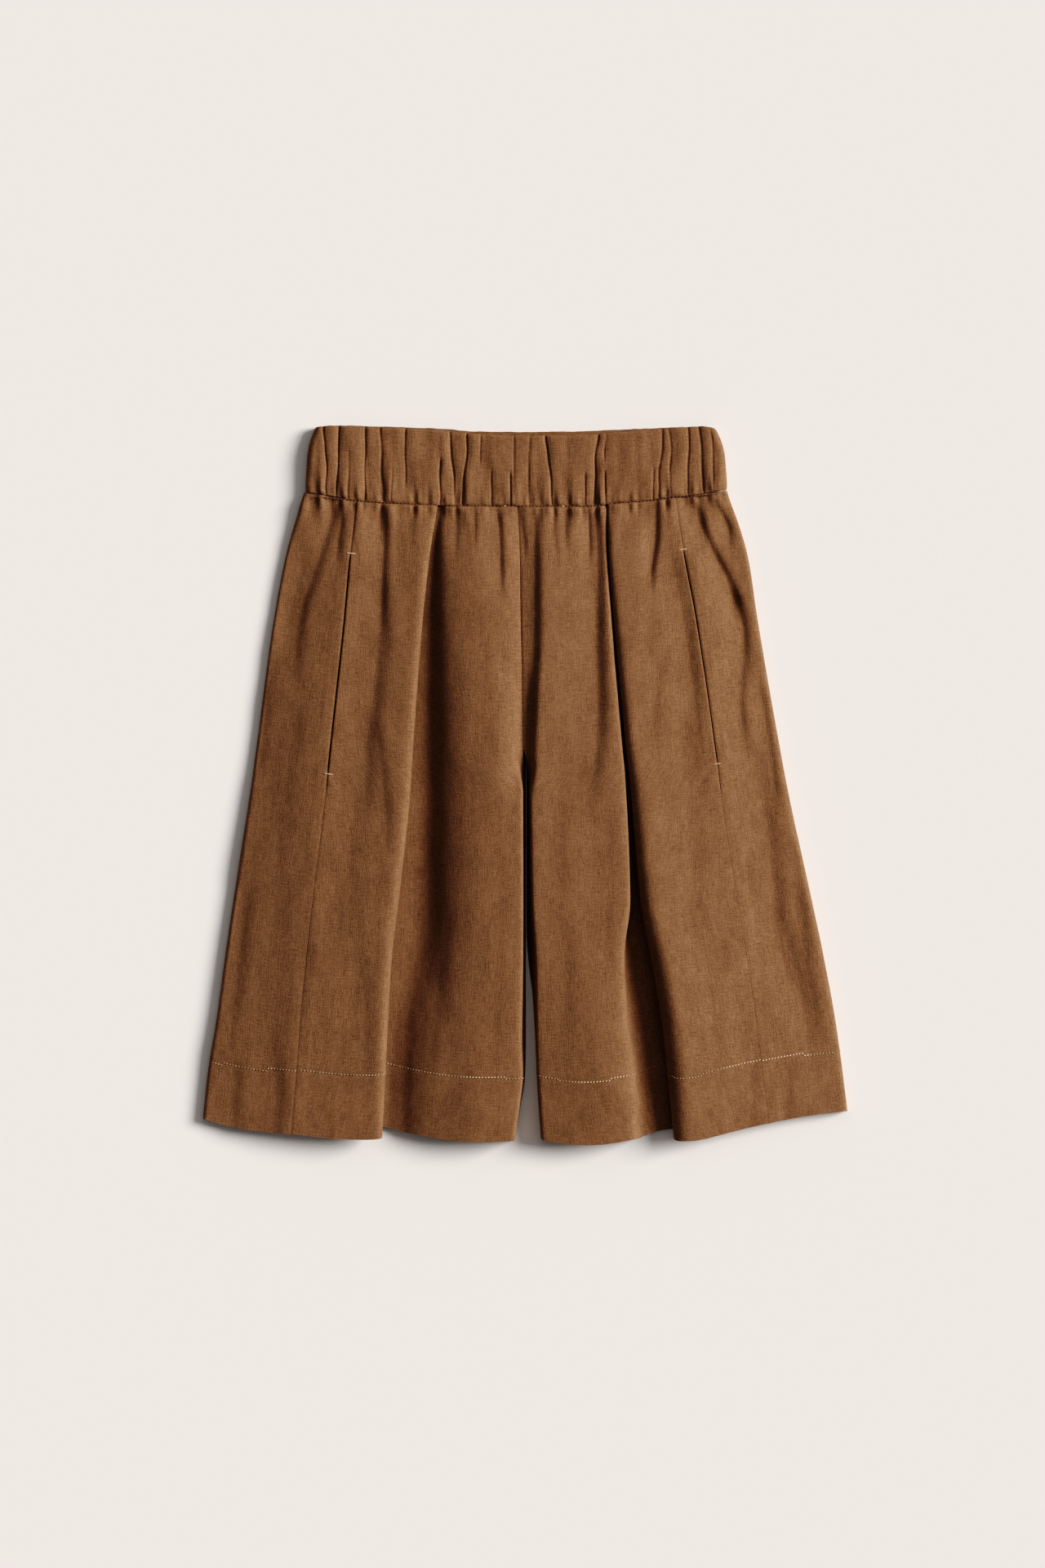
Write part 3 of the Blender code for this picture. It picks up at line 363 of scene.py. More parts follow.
# Where folds act, as place along the guide lines and share: beside the inner edge, and on the tops
INNER_SHARES = ((0, 0), (1.5, 0), (3, 1))
TOP_SHARES = ((5, 1), (6, 0), (15, 0), (16, 1), (20, 1), (21, 0))
# Where relief acts, in the same columns, and how far above a hem's edge its stitches run
RELIEF_SHARES = ((0, 0.15), (2, 0.3), (3, 1), (6, 0.8), (8, 0.15), (14, 0.3), (15.5, 1), (20.5, 1),
                 (21.8, 0))
HEM_STITCH_DEPTHS = ((0, 49.5), (18, 49.5), (21, 44.0), (22, 49.5))
# Where the side that lies down starts
UNDER_START = 23.2

# Unevenness of the cloth: height, width, length, slant as x for each y, seed
RUMPLES = ((0.55, 26.0, 90.0, 0.12, 21), (0.26, 11.0, 42.0, -0.06, 22), (0.07, 4.0, 14.0, 0, 23),
           (0.10, 38.0, 9.0, 0, 24))
# Small gathers beside the waist seam: height, width, length, slant, seed, distance of the highest
PUCKERS = ((1.6, 3.6, 1.0, 0, 11, 2.8), (1.9, 7.5, 50.0, 0.05, 12, 10.0))
# Grid of random values behind the noise, and the shift that keeps its places positive
NOISE_CELLS = 128
NOISE_SHIFT = 300.0

# Pocket mouth: distance past a bartack and length of its ends, depth of the loose seam below as a
# share, and its length. How far the edge is drawn back at a seam, and more at the mouth
MOUTH_PAST = 1
MOUTH_FADE = 5
LOOSE_SHARE = 0.45
LOOSE_FADE = 12
EDGE_GAP = 0.05
MOUTH_GAP = 0.37
# Grooves as depth and half width: below the waistband, at the hem's stitches, along the front seam
WAIST_GROOVE = (0.85, 1.1)
HEM_GROOVE = (0.30, 1.1)
HEM_GROOVE_LEAST = 0.3
FRONT_GROOVE = (0.35, 0.9)
FRONT_GROOVE_END = 30
# Groove of the loose side seam: depth, and half width all along it
LOOSE_GROOVE = 0.45
SIDE_GROOVE_WIDTH = 0.7
# Seam allowance beside the side seam: width, fade, its rise in a front and a back, and its upper end
ALLOWANCE_WIDTH = 10.5
ALLOWANCE_FADE = 2.5
ALLOWANCE_RISE = {"front": 0.10, "back": 0.22}
ALLOWANCE_TOP = 210
# Swell of the front beside a pocket mouth: height and half width
MOUTH_SWELL = (0.55, 5.0)
SETTING_IN = 20
# Creases of the side that lies down: height, width, length, slant, seed, sharpness
UNDER_CREASES = ((0.55, 16.0, 150.0, 0.1, 31, 0.28), (0.9, 5.0, 70.0, 0, 32, 0.35))
UNDER_PEAK = 14.0
UNDER_HEM = 12
# Least height of the lining above the floor
LINING_LEVEL = 0.3
# Edges sharper than this angle, in degrees, aren't shaded smooth
SHARP_ANGLE = 55
# Length over which the turned hem's cloth sets in
HEM_STEP = 2.0


def glide(at, places, values):
    """Smooth curve through values given at rising places, flat past both ends."""
    places = np.asarray(places, float)
    values = np.asarray(values, float)
    steps = np.diff(places)
    slopes = np.diff(values) / steps
    tangents = np.zeros_like(values)
    tangents[0] = slopes[0]
    tangents[-1] = slopes[-1]
    for i in range(1, len(values) - 1):
        before, after = slopes[i - 1], slopes[i]
        if before * after > 0:
            tangents[i] = 2 * before * after / (before + after)
    at = np.clip(at, places[0], places[-1])
    i = np.clip(np.searchsorted(places, at, side="right") - 1, 0, len(steps) - 1)
    t = (at - places[i]) / steps[i]
    start = values[i] * (1 + 2 * t) * (1 - t) ** 2 + tangents[i] * steps[i] * t * (1 - t) ** 2
    end = values[i + 1] * (3 - 2 * t) * t ** 2 - tangents[i + 1] * steps[i] * (1 - t) * t ** 2
    return start + end


def smooth(t):
    t = np.clip(t, 0.0, 1.0)
    return t * t * (3 - 2 * t)


def mix(a, b, t):
    return a + (b - a) * t


def column(table, index):
    return [row[index] for row in table]


def unit(vectors):
    return vectors / np.linalg.norm(vectors, axis=-1, keepdims=True)


def reach_of(steps):
    """Distance along a line from its start, at each of its points."""
    return np.concatenate(([0.0], np.cumsum(steps)))


def stepped(table, places):
    """Straight lines through a table of rising places and their values."""
    return np.interp(places, column(table, 0), column(table, 1))


def dent(distance, half_width):
    """Bell curve: 1 in its middle, small past its half width."""
    return np.exp(-(distance / half_width) ** 2)


def along_x(table, x, index):
    """Value of a table's column at x, where the first column is x."""
    return glide(x, column(table, 0), column(table, index))


def rising(table, y, index):
    """Value of a table's column at y, where the first column is y and falls."""
    return along_x(table[::-1], y, index)


def section(leg, y):
    """The leg's level values at y."""
    return {name: rising(LEVELS[leg], y, i) for i, name in enumerate(LEVEL_COLUMNS)}


def guide_lines(leg, y):
    """Guide points of the leg's section at y, as distance outward and height of the cloth's middle."""
    s = section(leg, y)
    apart = smooth((CROTCH_TOP - y) / (CROTCH_TOP - CROTCH_LOW))
    opening = smooth((OPENING_START - y) / OPENING_LENGTH)
    stand = CLOTH + SEAM_GAP + HEM_FOLD * smooth((HEM_RISE_START - y) / HEM_RISE_LENGTH)
    inner = mix(LEGS[leg] * rising(FRONT_SEAM, y, 1), rising(INNER_EDGE[leg], y, 1), opening)
    inseam = mix(SEAM_GAP / 2, rising(INSEAM[leg], y, 1), opening)
    start = mix(inner + SEAM_GAP / 2, inseam + HALF, apart)
    wall = inner + HALF
    near, drop = rising(FRONT_SEAM, y, 2), SHOULDER_DROP
    top = s["z_crown"] - s["tilt"]
    crown = inner + mix(CROWN_JOINED, CROWN_APART, apart)
    lip, lip_round = s["lip"] + HALF, s["lip_round"]
    lip_top, lip_low = s["z_lip"], s["z_low"]
    tuck, roll, floor = lip + s["tuck"], s["tuck_roll"], s["z_floor"]
    tuck_top = floor + 2 * roll
    seam, z_seam = s["seam"], s["z_seam"]
    outer, z_outer = s["outer"] - HALF + TURN_OVER, s["z_outer"]
    reach = TURN_REACH * z_outer
    low = HALF + 0 * y
    return (
        (start, mix(near, stand, apart)),
        (mix(start + SHOULDER_WIDTH / 2, wall + INNER_LEAN / 2, apart),
         mix(near + drop * (top - near), top / 2, apart)),
        (mix(start + SHOULDER_WIDTH, wall + INNER_LEAN, apart),
         mix(top - drop * (top - near), top - INNER_DROP, apart)),
        (crown, top),
        (mix(crown, s["rise"], rising(BEFORE_RISE[leg], y, 1)), s["z_crown"] + CROWN_SWELL),
        (s["rise"], s["z_rise"]),
        (s["foot"], s["z_foot"]),
        (mix(s["foot"], lip, UNDER_LIP), floor),
        (tuck - ROLL_REACH * roll, floor),
        (tuck, floor),
        (tuck, tuck_top),
        (tuck - ROLL_REACH * roll, tuck_top),
        (lip + LIP_REACH, lip_low),
        (lip, lip_low),
        (lip + LIP_LEAN * lip_round, mix(lip_low, lip_top, LIP_SHOULDER)),
        (lip + lip_round, lip_top),
        (lip + lip_round + LIP_TOP_WIDTH, mix(lip_top, z_seam, LIP_DROP)),
        (mix(lip, seam, PAST_LIP[0]), mix(lip_top, z_seam, PAST_LIP[1])),
        (seam, z_seam),
        (mix(seam, outer, 0.5), mix(z_seam, z_outer, 0.5)),
        (outer - reach, z_outer),
        (outer, z_outer),
        (outer, low),
        (outer - reach, low),
        (outer - reach - LIP_TOP_WIDTH, low),
        (mix(outer, inseam, 0.5), low),
        (inseam, low))


def hem_of(leg, index, u):
    """Y of the hem on a guide line that meets it at distance u."""
    hems = HEMS[leg]
    under, over, back = [along_x(hems[layer], u, 1) for layer in ("under", "over", "back")]
    if index <= LAST_UNDER:
        return under
    if index < FIRST_OVER:
        return mix(under, over, (index - LAST_UNDER) / (FIRST_OVER - LAST_UNDER))
    return mix(over, back, smooth((index - SEAM_LINE - TURN_LINES) / 2))


def panel_y(leg, index, share):
    """Y of the points on a guide line at each share of the way from waist seam to hem."""
    side = LEGS[leg]
    layer = 2 if index > SEAM_LINE + TURN_LINES else 1
    top_u = guide_lines(leg, np.array(WAIST_LEVEL))[index][0]
    top = along_x(WAIST_SEAM, side * top_u, layer) - SEAM_GAP / 2
    low_u = guide_lines(leg, np.array(HEM_LEVEL))[index][0]
    return mix(top, hem_of(leg, index, low_u), share)


def spline_weights(places, count):
    """Cubic B-spline weights of count guide points at each place, ending on the end points."""
    weights = np.zeros((len(places), count + 2))
    for row, place in enumerate(places):
        i = min(int(place), count - 2)
        t = place - i
        weights[row, i:i + 4] = ((1 - t) ** 3, 3 * t ** 3 - 6 * t ** 2 + 4,
                                 -3 * t ** 3 + 3 * t ** 2 + 3 * t + 1, t ** 3)
    weights /= 6
    inside = weights[:, 1:-1].copy()
    inside[:, 0] += 2 * weights[:, 0]
    inside[:, 1] -= weights[:, 0]
    inside[:, -1] += 2 * weights[:, -1]
    inside[:, -2] -= weights[:, -1]
    return inside


def fold_depth(folds, x, y):
    """Height that folds take from the cloth at x, y."""
    total = np.zeros_like(x)
    for path, depth, half_width, head, tail in folds:
        xs, ys = zip(*path[::-1])
        centre = glide(y, ys, xs)
        fade = smooth((y - ys[0] + FOLD_END) / tail) * smooth((ys[-1] + FOLD_START - y) / head)
        fade = fade * mix(SEAM_SHARE, 1.0, smooth((ys[-1] - y) / SEAM_REACH))
        q = (x - centre) / half_width
        q = np.where(q * depth < 0, q / GENTLE_SIDE, q)
        swell = SWELL * np.exp(-SWELL_SHARPNESS * (np.abs(q) - SWELL_PLACE) ** 2)
        total += depth * fade * (np.exp(-q ** 2) - swell)
    return total


def fold_share(places, y):
    """Where folds act: on the open tops of the front, not in the tuck or down the inner edge."""
    above = smooth((y - CROTCH_LOW) / (CROTCH_TOP - CROTCH_LOW))
    inner = stepped(INNER_SHARES, places)[:, None] * (1 - above) + above
    return inner * stepped(TOP_SHARES, places)[:, None]


def panel_middle(leg, places, shares):
    """Points of the middle of the cloth, a row for each place across and a column for each share."""
    shares = np.asarray(shares, float)
    lines = []
    for index in range(LAST_LINE + 1):
        y = panel_y(leg, index, shares)
        u, z = guide_lines(leg, y)[index]
        lines.append(np.stack((LEGS[leg] * u, y, z + 0 * y), axis=-1))
    points = np.tensordot(spline_weights(places, len(lines)), np.array(lines), axes=1)
    behind = smooth(np.asarray(places) - SEAM_LINE - TURN_LINES)
    first = points[:, 0]
    seam_y = mix(along_x(WAIST_SEAM, first[:, 0], 1), along_x(WAIST_SEAM, first[:, 0], 2), behind)
    shift = seam_y - SEAM_GAP / 2 - first[:, 1]
    points[..., 1] += shift[:, None] * (1 - shares) ** 3
    sunk = fold_depth(LARGE_FOLDS, points[..., 0], points[..., 1])
    points[..., 2] -= sunk * fold_share(places, points[..., 1])
    return points


def normals_of(points, side):
    """Unit normals out of the garment, with level ones kept at the seams' ends."""
    across = np.gradient(points, axis=0)
    down = np.gradient(points, axis=1)
    normals = np.cross(down, across) * side
    for edge in (0, -1):
        normals[:, edge, 1] = 0.0
    return unit(normals)


def even_places(leg, first, last, count):
    """Places from first to last, spaced evenly by the cloth's mean length across."""
    dense = np.linspace(first, last, EVEN_SAMPLES[0])
    points = panel_middle(leg, dense, np.linspace(0, 1, EVEN_SAMPLES[1]))
    steps = np.linalg.norm(np.diff(points, axis=0), axis=-1).mean(axis=1)
    reach = reach_of(steps * stepped(HIDDEN_SHARES, dense[1:]))
    return np.interp(np.linspace(0, reach[-1], count), reach, dense)


def lengths(points, axis):
    """Distance along the grid from its first row or column."""
    steps = np.linalg.norm(np.diff(points, axis=axis), axis=-1)
    zero = np.zeros_like(np.take(points[..., 0], [0], axis=axis))
    return np.concatenate((zero, np.cumsum(steps, axis=axis)), axis=axis)


def noise(x, y, wide, long, seed):
    """Smooth noise from -1 to 1 with bumps of the given width and length."""
    size = NOISE_CELLS
    table = np.random.default_rng(seed).uniform(-1, 1, (size, size))
    gx, gy = x / wide + NOISE_SHIFT, y / long + NOISE_SHIFT
    i, j = np.floor(gx).astype(int), np.floor(gy).astype(int)
    s, t = smooth(gx - i), smooth(gy - j)
    i0, j0, i1, j1 = i % size, j % size, (i + 1) % size, (j + 1) % size
    return mix(mix(table[i0, j0], table[i1, j0], s), mix(table[i0, j1], table[i1, j1], s), t)


def bump(d, peak):
    """Rises from 0 at a seam to 1 at the peak, then dies away."""
    d = np.maximum(d, 0) / peak
    return d * np.exp(1 - d)


def pucker(x, below):
    """Height of the small gathers beside the waist seam, at a distance from it."""
    total = 0
    for height, wide, long, slant, seed, peak in PUCKERS:
        along = below if slant else 0 * x
        total = total + height * noise(x + slant * below, along, wide, long, seed) * bump(below, peak)
    return total


def rumple(x, y):
    """Height of the cloth's soft unevenness."""
    return sum(height * noise(x + slant * y, y, wide, long, seed)
               for height, wide, long, slant, seed in RUMPLES)


def lying_creases(x, y, below):
    """Height of the soft creases of the side that lies down, the second kind near the waist."""
    broad, narrow = [height * dent(noise(x + slant * y, y, wide, long, seed), sharpness)
                     for height, wide, long, slant, seed, sharpness in UNDER_CREASES]
    return broad + narrow * bump(below, UNDER_PEAK)


def shell(name, outside, inside, uv, side, material):
    """Closed shell: the whole grid outside, every second point inside, joined round the rim."""
    across, down = outside.shape[:2]
    inner = inside[::2, ::2]
    grid = np.arange(across * down).reshape(across, down)
    far = grid.size + np.arange(inner.shape[0] * inner.shape[1]).reshape(inner.shape[:2])
    quads = np.stack((grid[:-1, :-1], grid[:-1, 1:], grid[1:, 1:], grid[1:, :-1]), axis=-1)
    lining = np.stack((far[:-1, :-1], far[1:, :-1], far[1:, 1:], far[:-1, 1:]), axis=-1)
    rim = np.concatenate((grid[:, 0], grid[-1, 1:], grid[-2::-1, -1], grid[0, -2:0:-1]))
    near = np.concatenate((far[:, 0], far[-1, 1:], far[-2::-1, -1], far[0, -2:0:-1]))
    a, m, b = rim[::2], rim[1::2], np.roll(rim, -2)[::2]
    far_a, far_b = near, np.roll(near, -1)
    strips = [np.stack(three, axis=-1) for three in ((a, m, far_a), (m, far_b, far_a), (m, b, far_b))]
    faces = quads.reshape(-1, 4).tolist() + lining.reshape(-1, 4).tolist()
    for strip in strips:
        faces += strip.tolist()
    vertices = np.concatenate((outside.reshape(-1, 3), inner.reshape(-1, 3)))
    places = np.concatenate((uv.reshape(-1, 2), uv[::2, ::2].reshape(-1, 2)))
    return link(name, vertices, faces, places, side, material)


def link(name, vertices, faces, uv, side, material):
    """Puts a mesh in the scene. Faces made for the left side turn over on the right one."""
    if side < 0:
        faces = [face[::-1] for face in faces]
    mesh = bpy.data.meshes.new(name)
    mesh.from_pydata(((vertices + CENTRE_SHIFT) * MM).tolist(), [], faces)
    layer = mesh.uv_layers.new(name="cloth")
    corners = np.empty(len(mesh.loops), dtype=np.int32)
    mesh.loops.foreach_get("vertex_index", corners)
    layer.data.foreach_set("uv", uv[corners].astype(np.float32).ravel())
    mesh.materials.append(material)
    mesh.shade_smooth()
    mesh.set_sharp_from_angle(angle=math.radians(SHARP_ANGLE))
    thing = bpy.data.objects.new(name, mesh)
    bpy.context.scene.collection.objects.link(thing)
    return thing


def panel(leg, first, last, grid, sheet_name, node, material):
    """A front or back of cloth on its solid's form. Returns it with its outside and normals."""
    side = LEGS[leg]
    places = even_places(leg, first, last, grid[0])
    shares = np.linspace(0, 1, grid[1])
    middle = panel_middle(leg, places, shares)
    across = lengths(middle, 0)
    below = lengths(middle, 1)
    from_seam = across[-1] - across if first == 0 else across
    upper, lower, loose = MOUTHS[leg]
    y = middle[..., 1]
    mouth = smooth((upper + MOUTH_PAST - y) / MOUTH_FADE) * smooth((y - lower + MOUTH_PAST) / MOUTH_FADE)
    open_part = smooth((upper - y) / MOUTH_FADE) * smooth((y - loose) / LOOSE_FADE)
    mouth = np.maximum(mouth, LOOSE_SHARE * open_part)

    # Edge at the side seam, drawn back at the pocket's mouth
    around = panel_middle(leg, (SEAM_LINE - NEAR, SEAM_LINE, SEAM_LINE + NEAR), shares)
    end, sign = (-1, -1) if first == 0 else (0, 1)
    gap = EDGE_GAP + MOUTH_GAP * mouth[end]
    middle[end] = around[1] + sign * gap[:, None] * unit(around[2] - around[0])
    normals = normals_of(middle, side)
    if first == 0:
        joined = smooth((y[0] - CROTCH_LOW) / (CROTCH_TOP - CROTCH_LOW))[:, None]
        normals[0] = unit(normals[0] * (1 - joined) + np.array(UPRIGHT) * joined)

    # Relief of the side that faces up
    tops = stepped(RELIEF_SHARES, places)[:, None]
    x = middle[..., 0]
    above = below[:, -1:] - below
    hem_depth = stepped(HEM_STITCH_DEPTHS, places)[:, None]
    hem = above - hem_depth
    height = tops * (rumple(x, y) + pucker(x, below))
    height -= tops * fold_depth(SMALL_FOLDS, x, y)
    height -= WAIST_GROOVE[0] * tops * dent(below, WAIST_GROOVE[1])
    height -= HEM_GROOVE[0] * dent(hem, HEM_GROOVE[1]) * np.minimum(1, tops + HEM_GROOVE_LEAST)
    groove = mix(SEAM_GROOVE[leg], LOOSE_GROOVE, smooth((y - loose) / LOOSE_FADE))
    height -= groove * dent(from_seam, SIDE_GROOVE_WIDTH)
    allowance = smooth((ALLOWANCE_WIDTH - from_seam) / ALLOWANCE_FADE)
    allowance = allowance * smooth((ALLOWANCE_TOP - y) / SETTING_IN)
    height += ALLOWANCE_RISE["back" if first else "front"] * allowance
    if first == 0:
        height += MOUTH_SWELL[0] * mouth * dent(from_seam, MOUTH_SWELL[1])
        seam = smooth((y - FRONT_GROOVE_END) / SETTING_IN)
        height -= FRONT_GROOVE[0] * dent(across, FRONT_GROOVE[1]) * seam
    middle = middle + height[..., None] * normals

    # Soft creases of the side that lies down rise off the floor
    under = smooth(places - UNDER_START)[:, None]
    middle[..., 2] += under * lying_creases(x, y, below) * smooth(above / UNDER_HEM)

    normals_now = normals_of(middle, side)
    normals_now[end] = normals[end]
    if first == 0:
        normals_now[0] = normals[0]
    turned = smooth((hem_depth - above) / HEM_STEP)
    outside = middle + HALF * normals_now
    inside = middle - (INNER_HALF + HEM_FOLD * turned)[..., None] * normals_now
    outside[..., 2] = np.maximum(outside[..., 2], 0.0)
    inside[..., 2] = np.maximum(inside[..., 2], LINING_LEVEL)
    uv = np.stack((across, below), axis=-1)
    thing = shell(sheet_name, outside, inside, uv, side, material)
    finish_piece(thing, node)
    hem_line = hem_points(outside, normals_now, hem)
    seam_line = (outside[end], normals_now[end])
    return thing, hem_line, seam_line, outside[:, 0]


def hem_points(outside, normals, hem):
    """Points of the outside where the hem's stitches run, with their normals."""
    rows = np.argmin(np.abs(hem), axis=1)
    columns = np.arange(len(rows))
    return outside[columns, rows], normals[columns, rows]


def finish_piece(thing, node):
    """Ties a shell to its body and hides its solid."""
    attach(thing, "root")
    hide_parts(node)


def gather_depth(x, share):
    """Depth of the waistband's gathers at x, at a share of its height."""
    total = np.zeros_like(x)
    for number, (x_top, x_seam, depth, half_width, start, end) in enumerate(GATHERS):
        waver, change = [noise(np.array(float(share)), np.array(0.0), length, 1.0, seed + number)
                         for length, seed in (WAVER_NOISE, CHANGE_NOISE)]
        centre = mix(x_top, x_seam, share) + GATHER_WAVER * waver
        q = np.abs(x - centre) / half_width
        fade = smooth((share - start) / GATHER_FADE + 1) * smooth((end - share) / GATHER_FADE + 1)
        fade = fade * (GATHER_SHARE + GATHER_CHANGE * change)
        crease = CREASE_SHARE * dent(q, CREASE_WIDTH)
        total += depth * fade * (crease + HOLLOW_SHARE * dent(q, HOLLOW_WIDTH))
    return np.minimum(total, GATHER_LIMIT)


def rounded(share, reach, least):
    """Fullness beside a rounded edge at a share of the height from it."""
    return max(least, np.sqrt(1 - (1 - min(share / reach, 1.0)) ** 2))


def creased(x, y, depth, wide, long, seed, sharpness):
    return depth * dent(noise(x, y, wide, long, seed), sharpness)


def waistband(leg, material):
    """Half of the waistband, from the front seam round the side to the back seam."""
    side = LEGS[leg]
    start, stop = side * BAND_FRONT_SEAM + BAND_GAPS[0], BAND_GAPS[1]
    radius = (BAND_RISE - BAND_HALF) / 2
    centre_z = BAND_HALF + radius
    shares = np.linspace(0, 1, BAND_ROWS)
    front = np.linspace(0, 1, BAND_FRONT + 1)
    turn = np.linspace(0, np.pi, BAND_ROLL + 1)[1:-1]
    back = np.linspace(0, 1, BAND_BACK)
    angle = np.concatenate((0 * front, turn, np.pi + 0 * back))
    outside, inside = [], []
    for share in shares:
        y_mid = mix(*BAND_LEVELS, share)
        outer = float(along_x(BAND_OUTER[leg][::-1], np.array(y_mid), 1)) - BAND_HALF
        bend = outer - radius
        u = np.concatenate((mix(start, bend, front), bend + radius * np.sin(turn),
                            mix(bend, stop, back)))
        z = centre_z + radius * np.cos(angle)
        behind = angle / np.pi
        x = side * u
        top = mix(along_x(BAND_TOP, x, 1), along_x(BAND_TOP, x, 2), behind)
        top = top + BAND_EDGE[0] * noise(x, 2 * BAND_EDGE[2] * behind, *BAND_EDGE[1:])
        low = mix(along_x(WAIST_SEAM, x, 1), along_x(WAIST_SEAM, x, 2), behind) + SEAM_GAP / 2
        y = mix(top, low, share)
        way = np.stack((side * np.sin(angle), 0 * x, np.cos(angle)), axis=-1)
        fill = rounded(share, *BAND_TOP_ROUND) * rounded(1 - share, *BAND_SEAM_ROUND)
        above = (1 - share) * BAND_HEIGHT
        puff = sum(height * noise(x, y, wide, long, seed) for height, wide, long, seed in BAND_PUFFS)
        dip = DIP_SHARE * gather_depth(x, share) * smooth((u - start) / BAND_SETTING_IN)
        dip += BAND_SEAM_DIP[0] * dent(u - start, BAND_SEAM_DIP[1])
        rise = BAND_HALF + PUFF_SHARE * puff - dip * (behind < BAND_TURN[0])
        rise += PUCKER_SHARE * pucker(x, above)
        hidden = BAND_HALF - creased(x, y, *BAND_BACK_CREASES)
        out = np.where(behind > BAND_TURN[1], hidden, rise) * fill
        point = np.stack((x, y, z), axis=-1)
        lower = BAND_HALF * BAND_LINING - creased(x, y, *BAND_LINING_CREASES)
        outside.append(point + out[:, None] * way)
        inside.append(point - (lower * fill)[:, None] * way)
    outside = np.array(outside).transpose(1, 0, 2)
    inside = np.array(inside).transpose(1, 0, 2)
    uv = np.stack((lengths(outside, 0), lengths(outside, 1)), axis=-1)
    thing = shell(f"waistband_cloth_{leg}", outside, inside, uv, side, material)
    finish_piece(thing, f"waistband_{leg}")
    return thing, outside


def pocket(leg, material):
    """Bag behind a pocket mouth: two layers closed all round but for the mouth below the seam."""
    side = LEGS[leg]
    across, ring = POCKET_GRID
    sweep = np.linspace(0, 1, ring)
    shape = np.array(POCKET_SHAPE)
    at = np.interp(np.linspace(0, 1, across), np.linspace(0, 1, len(shape)), np.arange(len(shape)))
    rows = np.stack([glide(at, np.arange(len(shape)), shape[:, k]) for k in range(4)], axis=-1)
    rings = []
    for half in (POCKET_HALF, POCKET_HOLLOW):
        layer = []
        for distance, upper, lower, height in rows:
            shrink = POCKET_HALF - half
            y = mix(upper - shrink, lower + shrink, sweep)
            s = section(leg, y)
            u = s["seam"] - distance + shrink * (distance > POCKET_END)
            sunk = fold_depth(LARGE_FOLDS, side * u, y)
            top = s["z_seam"] - HALF - SEAM_GAP - POCKET_HALF - np.maximum(sunk, 0) - POCKET_ROOM
            layer.append(np.stack((side * u, y, mix(POCKET_FLOOR, top, height)), axis=-1))
        rings.append(np.array(layer))
    outer_mid, inner_mid = rings
    normal = unit(np.cross(np.gradient(outer_mid, axis=1), np.gradient(outer_mid, axis=0)) * side)
    edge = np.minimum(1.0, POCKET_GROWTH * np.minimum(sweep, 1 - sweep) + POCKET_RIM)[None, :, None]
    end = np.ones(across)
    end[-1] = POCKET_FOOT
    thick = POCKET_HALF * edge * end[:, None, None]
    loops = []
    for mid, size in ((outer_mid, thick), (inner_mid, POCKET_HOLLOW + 0 * thick)):
        loops.append(np.concatenate((mid + size * normal, (mid - size * normal)[:, ::-1]), axis=1))
    thing = closed_bag(f"pocket_cloth_{leg}", *loops, side, material)
    finish_piece(thing, f"pocket_{leg}")
    return thing


def closed_bag(name, outer_loops, inner_loops, side, material):
    """Closed wall from loops round its outside and inside, open at the first loop."""
    count, ring = outer_loops.shape[:2]
    outer = np.arange(count * ring).reshape(count, ring)
    inner = outer + count * ring
    faces = []
    for i in range(count - 1):
        for j in range(ring):
            k = (j + 1) % ring
            faces.append((outer[i, j], outer[i, k], outer[i + 1, k], outer[i + 1, j]))
            faces.append((inner[i, j], inner[i + 1, j], inner[i + 1, k], inner[i, k]))
    for j in range(ring // 2 - 1):
        k = ring - 1 - j
        faces.append((outer[-1, j], outer[-1, j + 1], outer[-1, k - 1], outer[-1, k]))
        faces.append((inner[-1, k], inner[-1, k - 1], inner[-1, j + 1], inner[-1, j]))
    for j in range(ring):
        k = (j + 1) % ring
        faces.append((outer[0, k], outer[0, j], inner[0, j], inner[0, k]))
    vertices = np.concatenate((outer_loops.reshape(-1, 3), inner_loops.reshape(-1, 3)))
    faces = [[int(v) for v in face] for face in faces]
    return link(name, vertices, faces, vertices[:, :2].copy(), side, material)


# Stretches of X in which the hems' stitches are painted paler, a painted highlight where the light catches
# the thread, and the length over which it fades
HEM_HIGHLIGHT_SPANS = ((-129, -112), (-54, -14), (34, 80), (150, 225))
PALE_FADE = 8
# Tones of the threads: mean, gain in the painted highlight and unevenness of the hems', pale and dark ones
# of the waist seam's and the share of pale ones, and the bartacks'
HEM_TONES = (0.42, 0.5, 0.18)
TONE_RANGE = (0.1, 1.0)
DITCH_TONES = (0.6, 0.05, 0.03)
TACK_TONE = 0.95
# Stitches: length, pitch, half width and slant. How high those of the hems and the waist seam lie
HEM_STITCH = (1.6, 2.4, 0.42, 0.24)
DITCH_STITCH = (2.2, 2.8, 0.50, 0.12)
TACK_STITCH = (1.3, 0.75, 0.30, 0.2)
HEM_RISE = 0.10
DITCH_RISE = 0.5
# Bartack: its middle's shift from the seam and its half length, as X outward, Y and Z
TACK_SHIFT = (-0.6, 0.0, 0.55)
TACK_HALF = (3.1, 0.35, 0.0)
# Step along the seam that gives a stitch's way, and the first seed of the tones
STITCH_AHEAD = 0.4
STITCH_SEED = 200

# One stitch: a low six-sided bead, as shares of its half length, half width and height
BEAD_RINGS = ((-1.0, 0.35), (-0.6, 1.0), (0.6, 1.0), (1.0, 0.35))
BEAD_SIDES = 6


def on_line(at, reach, rows):
    """Value of each column of the rows at a distance along their line."""
    return np.array([np.interp(at, reach, rows[:, k]) for k in range(3)])


